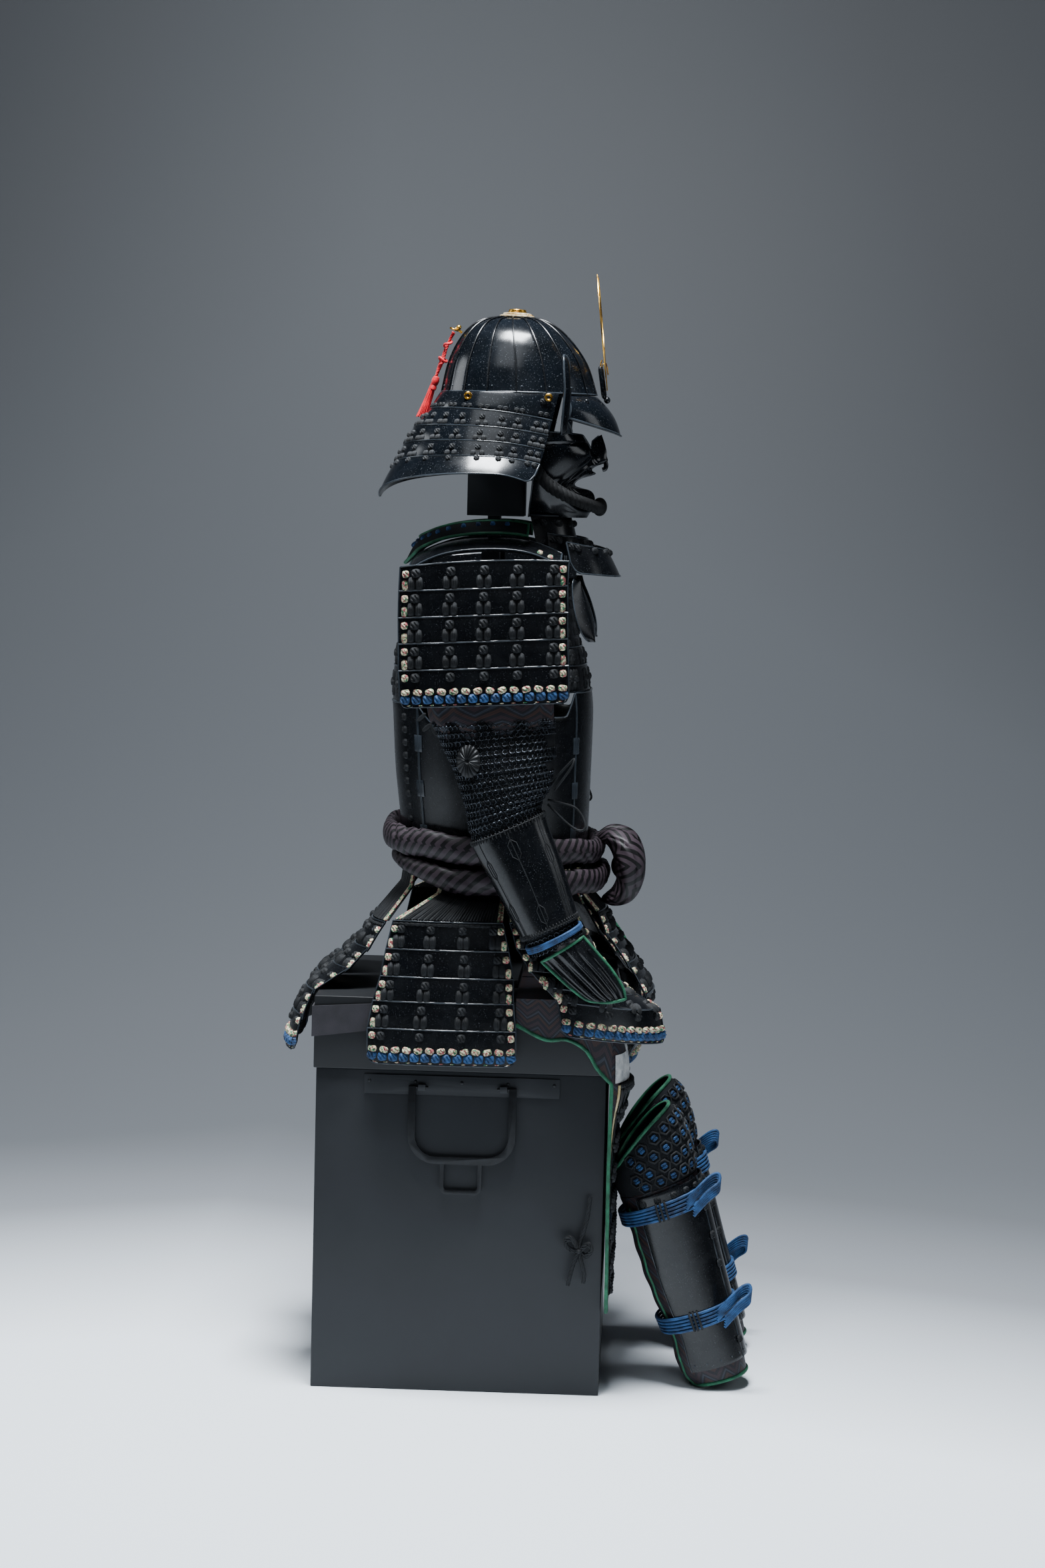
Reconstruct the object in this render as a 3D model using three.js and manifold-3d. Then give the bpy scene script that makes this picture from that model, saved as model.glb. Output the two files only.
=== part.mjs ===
// Samurai armour set out on its storage chest and stand, as a three.js scene graph.
// Millimetres, +Z up. +X is forward, the way the wearer would face, +Y is the wearer's left.
// The origin is on the floor, under the middle of the chest.

import * as THREE from "three";
import { mergeVertices } from "three/addons/utils/BufferGeometryUtils.js";
import Module from "manifold-3d";

const wasm = await Module();
wasm.setup();

// ---------------------------------------------------------------- driving sizes
const GAP = 0.3;
const CLOTH = 3;
const PLATE = 3;
const LACED = 4;
const LEDGE = 2.2;
const RIGHT = -1;
const LEFT = 1;

const CHEST = { half: 215, wall: 10, floor: 10, height: 481.7, tongue: 5, tongueTop: 500 };
const LID = { half: 219, wall: 8.5, bottom: 482, top: 590, roof: 10 };
const FITTING = { x: 1.5, halfLength: 145, low: 446, high: 475, thick: 2 };
const BAIL = { x: 3, half: 80, bar: 11, thick: 6, pivotZ: 458, low: 344, loopHalf: 31, loopLow: 299, loopBar: 6 };
const STAND = { x: 20, thick: 19, wide: 40, foot: 12, yokeLow: 1200, yokeHigh: 1222, yoke: 118, padTop: 1255.6 };
const HEAD = { rear: -20, front: 66, half: 42, low: 1300, domeX: 30, domeZ: 1500, domeTop: 1594 };

// ---------------------------------------------------------------- materials
const lacquer = new THREE.MeshStandardMaterial({ color: 0x15181c, roughness: 0.35, metalness: 0.1 });
const chestPaint = new THREE.MeshStandardMaterial({ color: 0x2a2c2f, roughness: 0.6, metalness: 0 });
const iron = new THREE.MeshStandardMaterial({ color: 0x1d1f22, roughness: 0.5, metalness: 0.6 });
const brass = new THREE.MeshStandardMaterial({ color: 0xc79a3a, roughness: 0.3, metalness: 1 });
const brocade = new THREE.MeshStandardMaterial({ color: 0x2b2429, roughness: 0.85, metalness: 0 });
const blackCloth = new THREE.MeshStandardMaterial({ color: 0x17181b, roughness: 0.9, metalness: 0 });
const blackCord = new THREE.MeshStandardMaterial({ color: 0x141518, roughness: 0.9, metalness: 0 });
const redSilk = new THREE.MeshStandardMaterial({ color: 0xb01620, roughness: 0.6, metalness: 0 });
const leather = new THREE.MeshStandardMaterial({ color: 0x16181b, roughness: 0.55, metalness: 0 });

// ---------------------------------------------------------------- shape helpers
const signedPower = (value, power) => Math.sign(value) * Math.abs(value) ** power;
const mix = (from, to, share) => from + (to - from) * share;
const radians = THREE.MathUtils.degToRad;

// Turns the triangles round where a mirrored or bent shape came out inside out.
function outward(geometry) {
  const place = geometry.attributes.position;
  const index = geometry.index.array;
  const [a, b, c] = [new THREE.Vector3(), new THREE.Vector3(), new THREE.Vector3()];
  let volume = 0;
  for (let i = 0; i < index.length; i += 3) {
    a.fromBufferAttribute(place, index[i]);
    b.fromBufferAttribute(place, index[i + 1]);
    c.fromBufferAttribute(place, index[i + 2]);
    volume += a.dot(b.cross(c));
  }
  if (volume < 0) {
    for (let i = 0; i < index.length; i += 3) [index[i + 1], index[i + 2]] = [index[i + 2], index[i + 1]];
  }
  return geometry;
}

// Leaves only the positions and joins the vertices that share a place.
function welded(geometry) {
  const bare = geometry.clone();
  bare.deleteAttribute("normal");
  bare.deleteAttribute("uv");
  return outward(mergeVertices(bare, 1e-4));
}

// Moves every vertex by a function of its old place.
function reshaped(geometry, move) {
  const place = geometry.attributes.position;
  const point = new THREE.Vector3();
  for (let i = 0; i < place.count; i += 1) {
    point.fromBufferAttribute(place, i);
    const moved = move(point);
    place.setXYZ(i, moved.x, moved.y, moved.z);
  }
  return welded(geometry);
}

// A wall with four edges: across (0 to 1), down (0 to 1) and through its thickness (0 inside, 1 outside).
function panel(acrossSteps, downSteps, where) {
  return reshaped(new THREE.BoxGeometry(1, 1, 1, acrossSteps, downSteps, 1), (p) =>
    where(p.x + 0.5, 0.5 - p.y, p.z + 0.5));
}

// A wall that closes on itself: a sleeve, a bowl or a belt. Round is 0 to 1.
function tube(roundSteps, downSteps, where) {
  const outline = [];
  for (let i = 0; i <= downSteps; i += 1) outline.push(new THREE.Vector2(2, i));
  for (let i = downSteps; i >= 0; i -= 1) outline.push(new THREE.Vector2(1, i));
  outline.push(new THREE.Vector2(2, 0));
  return reshaped(new THREE.LatheGeometry(outline, roundSteps), (p) => {
    const turn = Math.atan2(p.z, p.x) / (2 * Math.PI);
    const round = Math.round((turn < -1e-6 ? turn + 1 : turn) * roundSteps) % roundSteps / roundSteps;
    return where(round, p.y / downSteps, Math.round(Math.hypot(p.x, p.z)) - 1);
  });
}

// Pushes a surface out along its own normal to give it a wall; through runs from 0 to 1 over the thickness.
function thickened(surface, thickness) {
  const step = 1e-3;
  return (across, down, through) => {
    const [a0, a1] = [Math.max(0, across - step), Math.min(1, across + step)];
    const [d0, d1] = [Math.max(0, down - step), Math.min(1, down + step)];
    const alongAcross = surface(a1, down).sub(surface(a0, down));
    const alongDown = surface(across, d1).sub(surface(across, d0));
    const normal = alongAcross.cross(alongDown).normalize();
    return surface(across, down).addScaledVector(normal, thickness * through);
  };
}

const mirrored = (where, side) => (a, b, c) => {
  const p = where(a, b, c);
  p.y *= -side;
  return p;
};

// Reads a table of named columns at a value of its key column, straight between the rows.
function row(table, key, value) {
  const rising = table[table.length - 1][key] >= table[0][key];
  const rows = rising ? table : [...table].reverse();
  const last = rows.length - 1;
  let i = 0;
  while (i < last - 1 && rows[i + 1][key] < value) i += 1;
  const share = (value - rows[i][key]) / (rows[i + 1][key] - rows[i][key]);
  const out = {};
  for (const name of Object.keys(rows[0])) out[name] = mix(rows[i][name], rows[i + 1][name], share);
  return out;
}

// A point on an oval plan with squared-off sides. Angle 0 is the front.
function oval({ z, rear, front, half }, angle, power = 0.8) {
  const middle = (front + rear) / 2;
  return new THREE.Vector3(
    middle + ((front - rear) / 2) * signedPower(Math.cos(angle), power),
    half * signedPower(Math.sin(angle), power),
    z,
  );
}

// A half oval from one rear edge round the front to the other. Turn runs from -1 to 1.
function halfOval({ back, front, half }, turn, power = 0.85) {
  const angle = (turn * Math.PI) / 2;
  return {
    x: back + (front - back) * Math.max(0, Math.cos(angle)) ** power,
    y: half * signedPower(Math.sin(angle), power),
  };
}

function block(x0, x1, y0, y1, z0, z1) {
  const box = new THREE.BoxGeometry(x1 - x0, y1 - y0, z1 - z0);
  box.translate((x0 + x1) / 2, (y0 + y1) / 2, (z0 + z1) / 2);
  return box;
}

function solid(geometry) {
  const mesh = welded(geometry);
  return new wasm.Manifold(new wasm.Mesh({
    numProp: 3,
    vertProperties: new Float32Array(mesh.attributes.position.array),
    triVerts: new Uint32Array(mesh.index.array),
  }));
}

function geometryOf(manifold) {
  const mesh = manifold.getMesh();
  const geometry = new THREE.BufferGeometry();
  geometry.setAttribute("position", new THREE.BufferAttribute(new Float32Array(mesh.vertProperties), 3));
  geometry.setIndex(new THREE.BufferAttribute(new Uint32Array(mesh.triVerts), 1));
  return geometry;
}

// Joins the first list of shapes and cuts the second list out of them.
function carved(joined, cut = []) {
  let body = solid(joined[0]);
  for (const shape of joined.slice(1)) body = body.add(solid(shape));
  for (const shape of cut) body = body.subtract(solid(shape));
  return geometryOf(body);
}

const armour = new THREE.Group();
function add(name, geometry, material) {
  geometry.computeVertexNormals();
  const mesh = new THREE.Mesh(geometry, material);
  mesh.name = name;
  armour.add(mesh);
  return mesh;
}
const SIDES = [["right", RIGHT], ["left", LEFT]];

// Rows of a laced assembly: each plate's upper edge stands one ledge outside the plate above it.
// The table gives the top edge of each plate and, last, the bottom edge of the lowest one.
// Step is half the ledge's height, in the key column's own unit.
function lacedRows(table, key, step = 0.7) {
  const rows = [{ ...table[0], proud: LEDGE }];
  for (let i = 1; i < table.length - 1; i += 1) {
    const fall = Math.sign(table[i + 1][key] - table[i][key]);
    rows.push({ ...table[i], [key]: table[i][key] - step * fall, proud: 0 });
    rows.push({ ...table[i], [key]: table[i][key] + step * fall, proud: LEDGE });
  }
  rows.push({ ...table[table.length - 1], proud: 0 });
  return rows;
}

// ---------------------------------------------------------------- storage chest
function chestBody() {
  const { half, wall, floor, height, tongue, tongueTop } = CHEST;
  const inside = half - wall;
  const rim = inside + tongue;
  return carved(
    [block(-half, half, -half, half, 0, height), block(-rim, rim, -rim, rim, height - wall, tongueTop)],
    [block(-inside, inside, -inside, inside, floor, tongueTop + 1)],
  );
}

function chestLid() {
  const { half, wall, bottom, top, roof } = LID;
  const inside = half - wall;
  return carved(
    [block(-half, half, -half, half, bottom, top)],
    [block(-inside, inside, -inside, inside, bottom - 1, top - roof)],
  );
}

// A thin iron plate with two lugs that the bail's ends turn in.
function fittingPlate(side) {
  const { x, halfLength, low, high, thick } = FITTING;
  const face = CHEST.half + GAP;
  const lugDepth = 9;
  const slab = block(x - halfLength, x + halfLength, face, face + thick, low, high);
  const shapes = [slab];
  const bores = [];
  for (const end of [-1, 1]) {
    const inner = BAIL.x + end * (BAIL.half - BAIL.bar - 14);
    const outer = BAIL.x + end * (BAIL.half - BAIL.bar - 3);
    shapes.push(block(Math.min(inner, outer), Math.max(inner, outer), face, face + lugDepth,
      BAIL.pivotZ - 4.5, BAIL.pivotZ + 4.5));
    const bore = new THREE.CylinderGeometry(2.4, 2.4, 40, 8);
    bore.rotateZ(Math.PI / 2);
    bore.translate(BAIL.x + end * (BAIL.half - BAIL.bar - 8), bailAxis(), BAIL.pivotZ);
    bores.push(bore);
  }
  const shape = carved(shapes, bores);
  return reshaped(shape.scale(1, side, 1), (p) => p);
}

function bailAxis() {
  return CHEST.half + GAP + FITTING.thick + GAP + BAIL.thick / 2 + 0.4;
}

// The U-shaped carrying bail, with a small loop below it and two pins at its ends.
function bail(side) {
  const { x, half, bar, thick, pivotZ, low, loopHalf, loopLow, loopBar } = BAIL;
  const corner = 42;
  const top = pivotZ + 1.5;
  function uShape(halfWidth, base, rise, radius) {
    const shape = new THREE.Shape();
    shape.moveTo(-halfWidth, rise);
    shape.lineTo(-halfWidth, base + radius);
    shape.absarc(-halfWidth + radius, base + radius, radius, Math.PI, 1.5 * Math.PI);
    shape.lineTo(halfWidth - radius, base);
    shape.absarc(halfWidth - radius, base + radius, radius, 1.5 * Math.PI, 2 * Math.PI);
    shape.lineTo(halfWidth, rise);
    shape.closePath();
    return new THREE.ExtrudeGeometry(shape, { depth: thick, bevelEnabled: false, curveSegments: 3 });
  }
  const middle = new THREE.Matrix4().makeRotationX(Math.PI / 2);
  middle.setPosition(x, bailAxis() + thick / 2, 0);
  const upright = (geometry) => geometry.applyMatrix4(middle);
  const wideCut = (geometry) => upright(geometry.scale(1, 1, 3).translate(0, 0, -thick));
  const pins = [-1, 1].map((end) => {
    const pin = new THREE.CylinderGeometry(1.9, 1.9, 20, 8);
    pin.rotateZ(Math.PI / 2);
    pin.translate(x + end * (half - bar - 8), bailAxis(), pivotZ);
    return pin;
  });
  const shape = carved(
    [upright(uShape(loopHalf, loopLow, low + bar, 10)), upright(uShape(half, low, top, corner))],
    [wideCut(uShape(half - bar, low + bar, top + 1, corner - bar)),
      wideCut(uShape(loopHalf - loopBar, loopLow + loopBar, low - 0.01, 6))],
  );
  const whole = carved([shape, ...pins]);
  return reshaped(whole.scale(1, side, 1), (p) => p);
}

add("chest_body", chestBody(), chestPaint);
add("chest_lid", chestLid(), chestPaint);
for (const [word, side] of SIDES) {
  add(`fitting_plate_${word}`, fittingPlate(side), iron);
  add(`bail_${word}`, bail(side), iron);
}

// ---------------------------------------------------------------- stand
function stand() {
  const { x, thick, wide, foot, yokeLow, yokeHigh, yoke, padTop } = STAND;
  const base = LID.top + GAP;
  const shapes = [
    block(x - 90, x + 56, -90, 90, base, base + foot),
    block(x - thick / 2, x + thick / 2, -wide / 2, wide / 2, base, HEAD.low - GAP),
    block(x - 14, x + 14, -yoke, yoke, yokeLow, yokeHigh),
  ];
  for (const side of [-1, 1]) {
    shapes.push(block(x - 13, x + 13, Math.min(side * 86, side * (yoke - 1)), Math.max(side * 86, side * (yoke - 1)),
      yokeLow + 1, padTop));
  }
  return carved(shapes);
}

function headBlock() {
  const dome = new THREE.SphereGeometry(1, 12, 6);
  dome.rotateX(Math.PI / 2);
  dome.scale(62, 58, HEAD.domeTop - HEAD.domeZ);
  dome.translate(HEAD.domeX, 0, HEAD.domeZ);
  return carved([block(HEAD.rear, HEAD.front, -HEAD.half, HEAD.half, HEAD.low, HEAD.domeZ), dome]);
}

add("stand", stand(), chestPaint);
add("head_block", headBlock(), chestPaint);

// ---------------------------------------------------------------- helmet
const BOWL = [
  { z: 1485, rear: -64, front: 170, half: 104 },
  { z: 1532, rear: -53, front: 153, half: 95 },
  { z: 1570, rear: -33, front: 124, half: 76 },
  { z: 1592, rear: -8, front: 93, half: 47 },
  { z: 1599.5, rear: 26, front: 58, half: 15 },
];
const BOWL_PLATES = 18;

function bowl() {
  const rise = 1.4;
  return tube(2 * BOWL_PLATES, BOWL.length - 1, (round, up, through) => {
    const angle = round * 2 * Math.PI;
    const section = BOWL[Math.round(up * (BOWL.length - 1))];
    const inner = through ? 0 : PLATE;
    const rib = through && Math.round(round * 2 * BOWL_PLATES) % 2 ? rise : 0;
    const grow = rib - inner;
    return oval({
      z: section.z - (section.z > 1485 ? inner * 0.8 : 0),
      rear: section.rear - grow,
      front: section.front + grow,
      half: section.half + grow,
    }, angle, 0.92);
  });
}

function crownFitting() {
  const outline = [[11, 1.6], [26, -1.2], [26, 1.8], [20, 4.6], [20, 6.2], [14, 7.6], [14, 10.6], [9.5, 10.6], [9.5, 3.4], [11, 1.6]];
  const ring = new THREE.LatheGeometry(outline.map(([r, h]) => new THREE.Vector2(r, h)), 12);
  ring.rotateX(Math.PI / 2);
  ring.rotateY(0.03);
  ring.translate(47, 0, 1600.2);
  return welded(ring);
}

// Plan of the neck guard and the band above it: round the back, then straight to the two front tips.
const NECK_GUARD = [
  { rearZ: 1457, sideZ: 1459, tipZ: 1444, rear: -80, half: 114, tip: 107 },
  { rearZ: 1429, sideZ: 1434, tipZ: 1422, rear: -103, half: 124, tip: 102 },
  { rearZ: 1401, sideZ: 1412, tipZ: 1400, rear: -118, half: 134, tip: 97 },
  { rearZ: 1373, sideZ: 1389, tipZ: 1379, rear: -132, half: 145, tip: 91 },
  { rearZ: 1325, sideZ: 1362, tipZ: 1350, rear: -156, half: 166, tip: 79 },
];

function horseshoe({ rearZ, sideZ, tipZ, rear, half, tip }, across, inset = 0) {
  const turn = across * 2 - 1;
  const bend = 0.62;
  const share = Math.abs(turn);
  const centre = 18;
  const z = rearZ * (1 - share) * (1 - 2 * share) + 4 * sideZ * share * (1 - share) + tipZ * share * (2 * share - 1);
  if (share <= bend) {
    const angle = ((share / bend) * Math.PI) / 2;
    return new THREE.Vector3(
      centre - (centre - rear - inset) * Math.cos(angle) ** 0.9,
      Math.sign(turn) * (half - inset) * Math.sin(angle) ** 0.9, z);
  }
  const on = (share - bend) / (1 - bend);
  return new THREE.Vector3(mix(centre, tip, on), Math.sign(turn) * (half - inset - 9 * on * on), z);
}

function neckGuard() {
  const table = NECK_GUARD.map((r, i) => ({ ...r, order: i }));
  const rows = lacedRows(table, "order", 0.03);
  return panel(16, rows.length - 1, (across, down, through) => {
    const now = rows[Math.round(down * (rows.length - 1))];
    const at = row(table, "order", now.order);
    return horseshoe(at, across, LEDGE - now.proud + (1 - through) * LACED);
  });
}

function helmetBand() {
  const top = { rearZ: 1484.6, sideZ: 1484.6, tipZ: 1484.6, rear: -66, half: 106, tip: 116 };
  const low = NECK_GUARD[0];
  const bottom = { ...low, rearZ: low.rearZ + 0.5, sideZ: low.sideZ + 0.5, tipZ: low.tipZ + 0.5 };
  return panel(16, 1, (across, down, through) => {
    const at = {};
    for (const name of Object.keys(bottom)) at[name] = mix(top[name], bottom[name], down);
    return horseshoe(at, across, (1 - through) * PLATE);
  });
}

function visor() {
  const reach = radians(56);
  const surface = (across, down) => {
    const turn = across * 2 - 1;
    const root = oval({ ...BOWL[0], z: 1481.5 }, turn * reach, 0.92);
    const edge = oval({ z: 1424, rear: -177, front: 207, half: 116 }, turn * reach * 0.98, 0.92);
    edge.z = mix(1424, 1448, Math.abs(turn) ** 1.6);
    const bulge = Math.sin(down * Math.PI) * 6;
    return root.lerp(edge, down).add(new THREE.Vector3(bulge, turn * bulge * 0.4, bulge * 0.3));
  };
  return panel(10, 3, thickened(surface, -PLATE));
}

// The ear-shaped plate that turns back beside the visor.
function turnback(side) {
  const surface = (across, down) => {
    const out = across;
    const high = mix(1482, 1538, Math.sin(out * Math.PI * 0.5));
    const low = mix(1449, 1423, Math.sin(out * Math.PI * 0.5));
    const round = Math.sqrt(Math.max(0, 1 - Math.abs(2 * down - 1) ** 3));
    return new THREE.Vector3(
      mix(122, 131, Math.sin(out * Math.PI)) + 8 * (0.5 - Math.abs(down - 0.45)),
      mix(107, 107 + 42 * (0.55 + 0.45 * round), out),
      mix(high, low, down),
    );
  };
  return panel(3, 6, mirrored(thickened(surface, PLATE), -side));
}

function crestHolder() {
  const tongue = new THREE.CapsuleGeometry(7, 38, 2, 8);
  tongue.rotateX(Math.PI / 2);
  tongue.scale(0.6, 1.1, 1);
  tongue.rotateY(-0.15);
  tongue.translate(178.2, 0, 1504.5);
  return welded(tongue);
}

// A plain crescent on a short stem, seen edge-on from the side.
function crest() {
  const shape = new THREE.Shape();
  const [outer, inner, centre, rise] = [86, 76, 100, 22];
  const horn = radians(58);
  const innerHorn = Math.atan2(outer * Math.sin(horn) - rise, outer * Math.cos(horn));
  const innerRadius = Math.hypot(outer * Math.cos(horn), outer * Math.sin(horn) - rise);
  shape.absarc(0, centre, outer, horn, radians(-84), true);
  shape.lineTo(9, 0);
  shape.lineTo(-9, 0);
  shape.absarc(0, centre, outer, radians(-96), Math.PI - horn, true);
  shape.absarc(0, centre + rise, Math.min(innerRadius, inner), Math.PI - innerHorn, innerHorn, false);
  const plate = new THREE.ExtrudeGeometry(shape, { depth: 1.6, bevelEnabled: false, curveSegments: 8 });
  plate.rotateX(Math.PI / 2);
  plate.rotateZ(Math.PI / 2);
  plate.rotateY(-0.109);
  plate.translate(185, 0, 1492);
  return welded(plate);
}

// Ring, knotted cord and silk tassel behind the bowl, as one plain turned solid of their reach.
function tassel() {
  const outline = [[0, 0], [6, 1], [8, 18], [7, 48], [5.5, 58], [3.5, 62], [3.5, 72], [7, 78], [7, 92], [3.5, 97],
    [3.5, 108], [6, 112], [6, 124], [3, 130], [0, 134]];
  const turned = new THREE.LatheGeometry(outline.map(([r, h]) => new THREE.Vector2(r, h)), 8);
  turned.rotateX(Math.PI / 2);
  turned.rotateY(0.37);
  turned.translate(-97, 0, 1447);
  return welded(turned);
}

add("helmet_bowl", bowl(), lacquer);
add("crown_fitting", crownFitting(), brass);
add("helmet_band", helmetBand(), lacquer);
add("neck_guard", neckGuard(), lacquer);
add("visor", visor(), lacquer);
for (const [word, side] of SIDES) add(`turnback_${word}`, turnback(side), lacquer);
add("crest_holder", crestHolder(), lacquer);
add("crest", crest(), brass);
add("tassel", tassel(), redSilk);

// ---------------------------------------------------------------- half mask and throat guard
const MASK = [
  { z: 1425, back: 100, front: 152, half: 80 },
  { z: 1406, back: 92, front: 165, half: 81 },
  { z: 1384, back: 85, front: 171, half: 79 },
  { z: 1361, back: 80, front: 168, half: 75 },
  { z: 1336, back: 77, front: 160, half: 66 },
  { z: 1320, back: 75, front: 160, half: 59 },
  { z: 1303, back: 73, front: 163, half: 47 },
];
const THROAT = [
  { endZ: 1302, frontZ: 1302, back: 70, front: 128, half: 44 },
  { endZ: 1289, frontZ: 1288, back: 83, front: 143, half: 60 },
  { endZ: 1273, frontZ: 1272, back: 106, front: 167, half: 72 },
  { endZ: 1262, frontZ: 1253, back: 137, front: 195, half: 86 },
  { endZ: 1224, frontZ: 1216, back: 146, front: 214, half: 96 },
];

function mask() {
  const shell = panel(12, MASK.length - 1, (across, down, through) => {
    const section = MASK[Math.round(down * (MASK.length - 1))];
    const inner = (1 - through) * PLATE;
    const at = halfOval({ back: section.back, front: section.front - inner, half: section.half - inner },
      across * 2 - 1, 0.9);
    return new THREE.Vector3(at.x, at.y, section.z);
  });
  const nose = new THREE.ConeGeometry(15, 44, 6);
  nose.rotateX(Math.PI / 2);
  nose.translate(0, 0, 22);
  nose.rotateY(0.24);
  nose.translate(173, 0, 1372);
  const mouth = new THREE.SphereGeometry(1, 10, 5);
  mouth.scale(26, 30, 9);
  mouth.translate(173, 0, 1349);
  return carved([shell, nose], [mouth]);
}

function throatGuard() {
  const table = THROAT.map((r, i) => ({ ...r, order: i }));
  const rows = lacedRows(table, "order", 0.05);
  return panel(10, rows.length - 1, (across, down, through) => {
    const now = rows[Math.round(down * (rows.length - 1))];
    const at = row(table, "order", now.order);
    const inner = LEDGE - now.proud + (1 - through) * LACED;
    const turn = across * 2 - 1;
    const plan = halfOval({ back: at.back, front: at.front - inner, half: at.half - inner }, turn, 0.9);
    return new THREE.Vector3(plan.x, plan.y, mix(at.frontZ, at.endZ, Math.abs(turn) ** 1.5));
  });
}

// A round cord along a smooth path through a short list of places.
function cordAlong(points, radius, steps) {
  const path = new THREE.CatmullRomCurve3(points.map((p) => new THREE.Vector3(...p)));
  const section = new THREE.Shape();
  section.absarc(0, 0, radius, 0, 2 * Math.PI);
  return welded(new THREE.ExtrudeGeometry(section, { steps, extrudePath: path, curveSegments: 4, bevelEnabled: false }));
}

const CHIN_CORD = [
  [84, -97, 1384], [102, -94, 1362], [128, -87, 1344], [155, -68, 1328], [173, -36, 1318], [177, 0, 1315],
];

function chinCord() {
  const otherSide = CHIN_CORD.slice(0, -1).reverse().map(([x, y, z]) => [x, -y, z]);
  return cordAlong([...CHIN_CORD, ...otherSide], 11, 16);
}

add("mask", mask(), lacquer);
add("throat_guard", throatGuard(), lacquer);
add("chin_cord", chinCord(), blackCord);


// ---------------------------------------------------------------- cuirass
const CUIRASS = [
  { z: 775, rear: -108, front: 172, half: 150 },
  { z: 830, rear: -111, front: 174, half: 152 },
  { z: 917, rear: -121, front: 176, half: 162 },
  { z: 1009, rear: -127, front: 177, half: 168 },
  { z: 1040, rear: -130, front: 174, half: 168 },
];
const PANELS = { frontEdge: 35, rearEdge: 130, seam: 0.12 };
const CHEST_LAMES = [
  { z: 1200, reach: 136, half: 96, fall: 24 },
  { z: 1107, reach: 157, half: 112, fall: 28 },
  { z: 1080, reach: 165, half: 119, fall: 31 },
  { z: 1041, reach: 172, half: 122, fall: 32 },
];
const BACK_LAMES = [
  { z: 1222, reach: 101, half: 98, fall: 14 },
  { z: 1150, reach: 114, half: 104, fall: 18 },
  { z: 1110, reach: 121, half: 110, fall: 22 },
  { z: 1072, reach: 126, half: 114, fall: 24 },
  { z: 1019, reach: 129, half: 117, fall: 26 },
];

// One wall of the body armour between two angles, with a top edge that can dip for the arm.
function bodyPanel(fromDegrees, toDegrees, steps, topAt) {
  return panel(steps, 5, (across, down, through) => {
    const angle = radians(mix(fromDegrees, toDegrees, across));
    const z = mix(topAt(across), CUIRASS[0].z, down);
    const at = row(CUIRASS, "z", z);
    const inner = (1 - through) * PLATE;
    const p = oval({ z, rear: at.rear + inner, front: at.front - inner, half: at.half - inner }, angle);
    return p;
  });
}

function bodyLames(table, facing, thick = LACED) {
  const rows = lacedRows(table, "z");
  return panel(8, rows.length - 1, (across, down, through) => {
    const now = rows[Math.round(down * (rows.length - 1))];
    const turn = across * 2 - 1;
    const x = now.reach - now.fall * Math.abs(turn) ** 2.2 + now.proud - LEDGE - (1 - through) * thick;
    return new THREE.Vector3(x * facing, turn * now.half, now.z);
  });
}

const armhole = (across) => mix(1040, 1005, Math.min(1, 3 * Math.sin(across * Math.PI)))
  - 22 * Math.max(0, across - 0.75) * 4;
const { frontEdge, rearEdge, seam } = PANELS;
add("cuirass_front", bodyPanel(-frontEdge + seam, frontEdge - seam, 8, () => 1040), lacquer);
add("cuirass_back", bodyPanel(rearEdge + seam, 360 - rearEdge - seam, 10, () => 1018), lacquer);
add("cuirass_side_left", bodyPanel(frontEdge + seam, rearEdge - seam, 10, armhole), lacquer);
add("cuirass_side_right", bodyPanel(-frontEdge - seam, -rearEdge + seam, 10, armhole), lacquer);
add("chest_lames", bodyLames(CHEST_LAMES, 1), lacquer);
add("back_lames", bodyLames(BACK_LAMES, -1), lacquer);

// Height of the shoulder line along x, shared by the straps and the collar.
const SHOULDER = [
  { x: -100, z: 1226 }, { x: -87, z: 1239 }, { x: -46, z: 1257 }, { x: 12, z: 1265 }, { x: 75, z: 1262 }, { x: 133, z: 1241 },
];

function shoulderStrap(side) {
  const surface = (across, down) => {
    const x = mix(-99, 126, across);
    return new THREE.Vector3(x, mix(-76, -146, down), row(SHOULDER, "x", x).z - 16 * down ** 2 + 2);
  };
  return panel(8, 2, mirrored((a, d, t) => {
    const p = surface(a, d);
    p.z -= (1 - t) * LACED;
    return p;
  }, side));
}

// The padded neck collar: a horseshoe of cloth that stands on the straps, highest at its inner edge.
function collar() {
  return panel(16, 2, (across, down, through) => {
    const turn = across * 2 - 1;
    const bend = 0.6;
    const share = Math.abs(turn);
    const half = mix(66, 92, down);
    const rear = mix(-92, -114, down);
    const centre = -30;
    let x;
    let y = Math.sign(turn) * half;
    if (share < bend) {
      const angle = ((share / bend) * Math.PI) / 2;
      x = centre - (centre - rear) * Math.cos(angle) ** 0.8;
      y = Math.sign(turn) * half * Math.sin(angle) ** 0.8;
    } else x = mix(centre, 74, (share - bend) / (1 - bend));
    const rest = row(SHOULDER, "x", x).z + 3;
    const rise = mix(20, 2.5, down) + (share < bend ? 4 * (1 - share / bend) : 0);
    return new THREE.Vector3(x, y, rest + rise + through * 4);
  });
}

// The hanging plate that covers each strap's toggle.
function leaf(side) {
  return panel(2, 6, mirrored((across, down, through) => {
    const width = 25 * Math.sqrt(Math.max(0.05, 1 - Math.abs(down * 2 - 1) ** 2.6)) * (0.8 + 0.3 * down);
    const turn = across * 2 - 1;
    return new THREE.Vector3(
      mix(148, 179, down) - 5 * turn * turn + through * 2.5,
      -88 + turn * width,
      mix(1210, 1116, down),
    );
  }, side));
}

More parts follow.
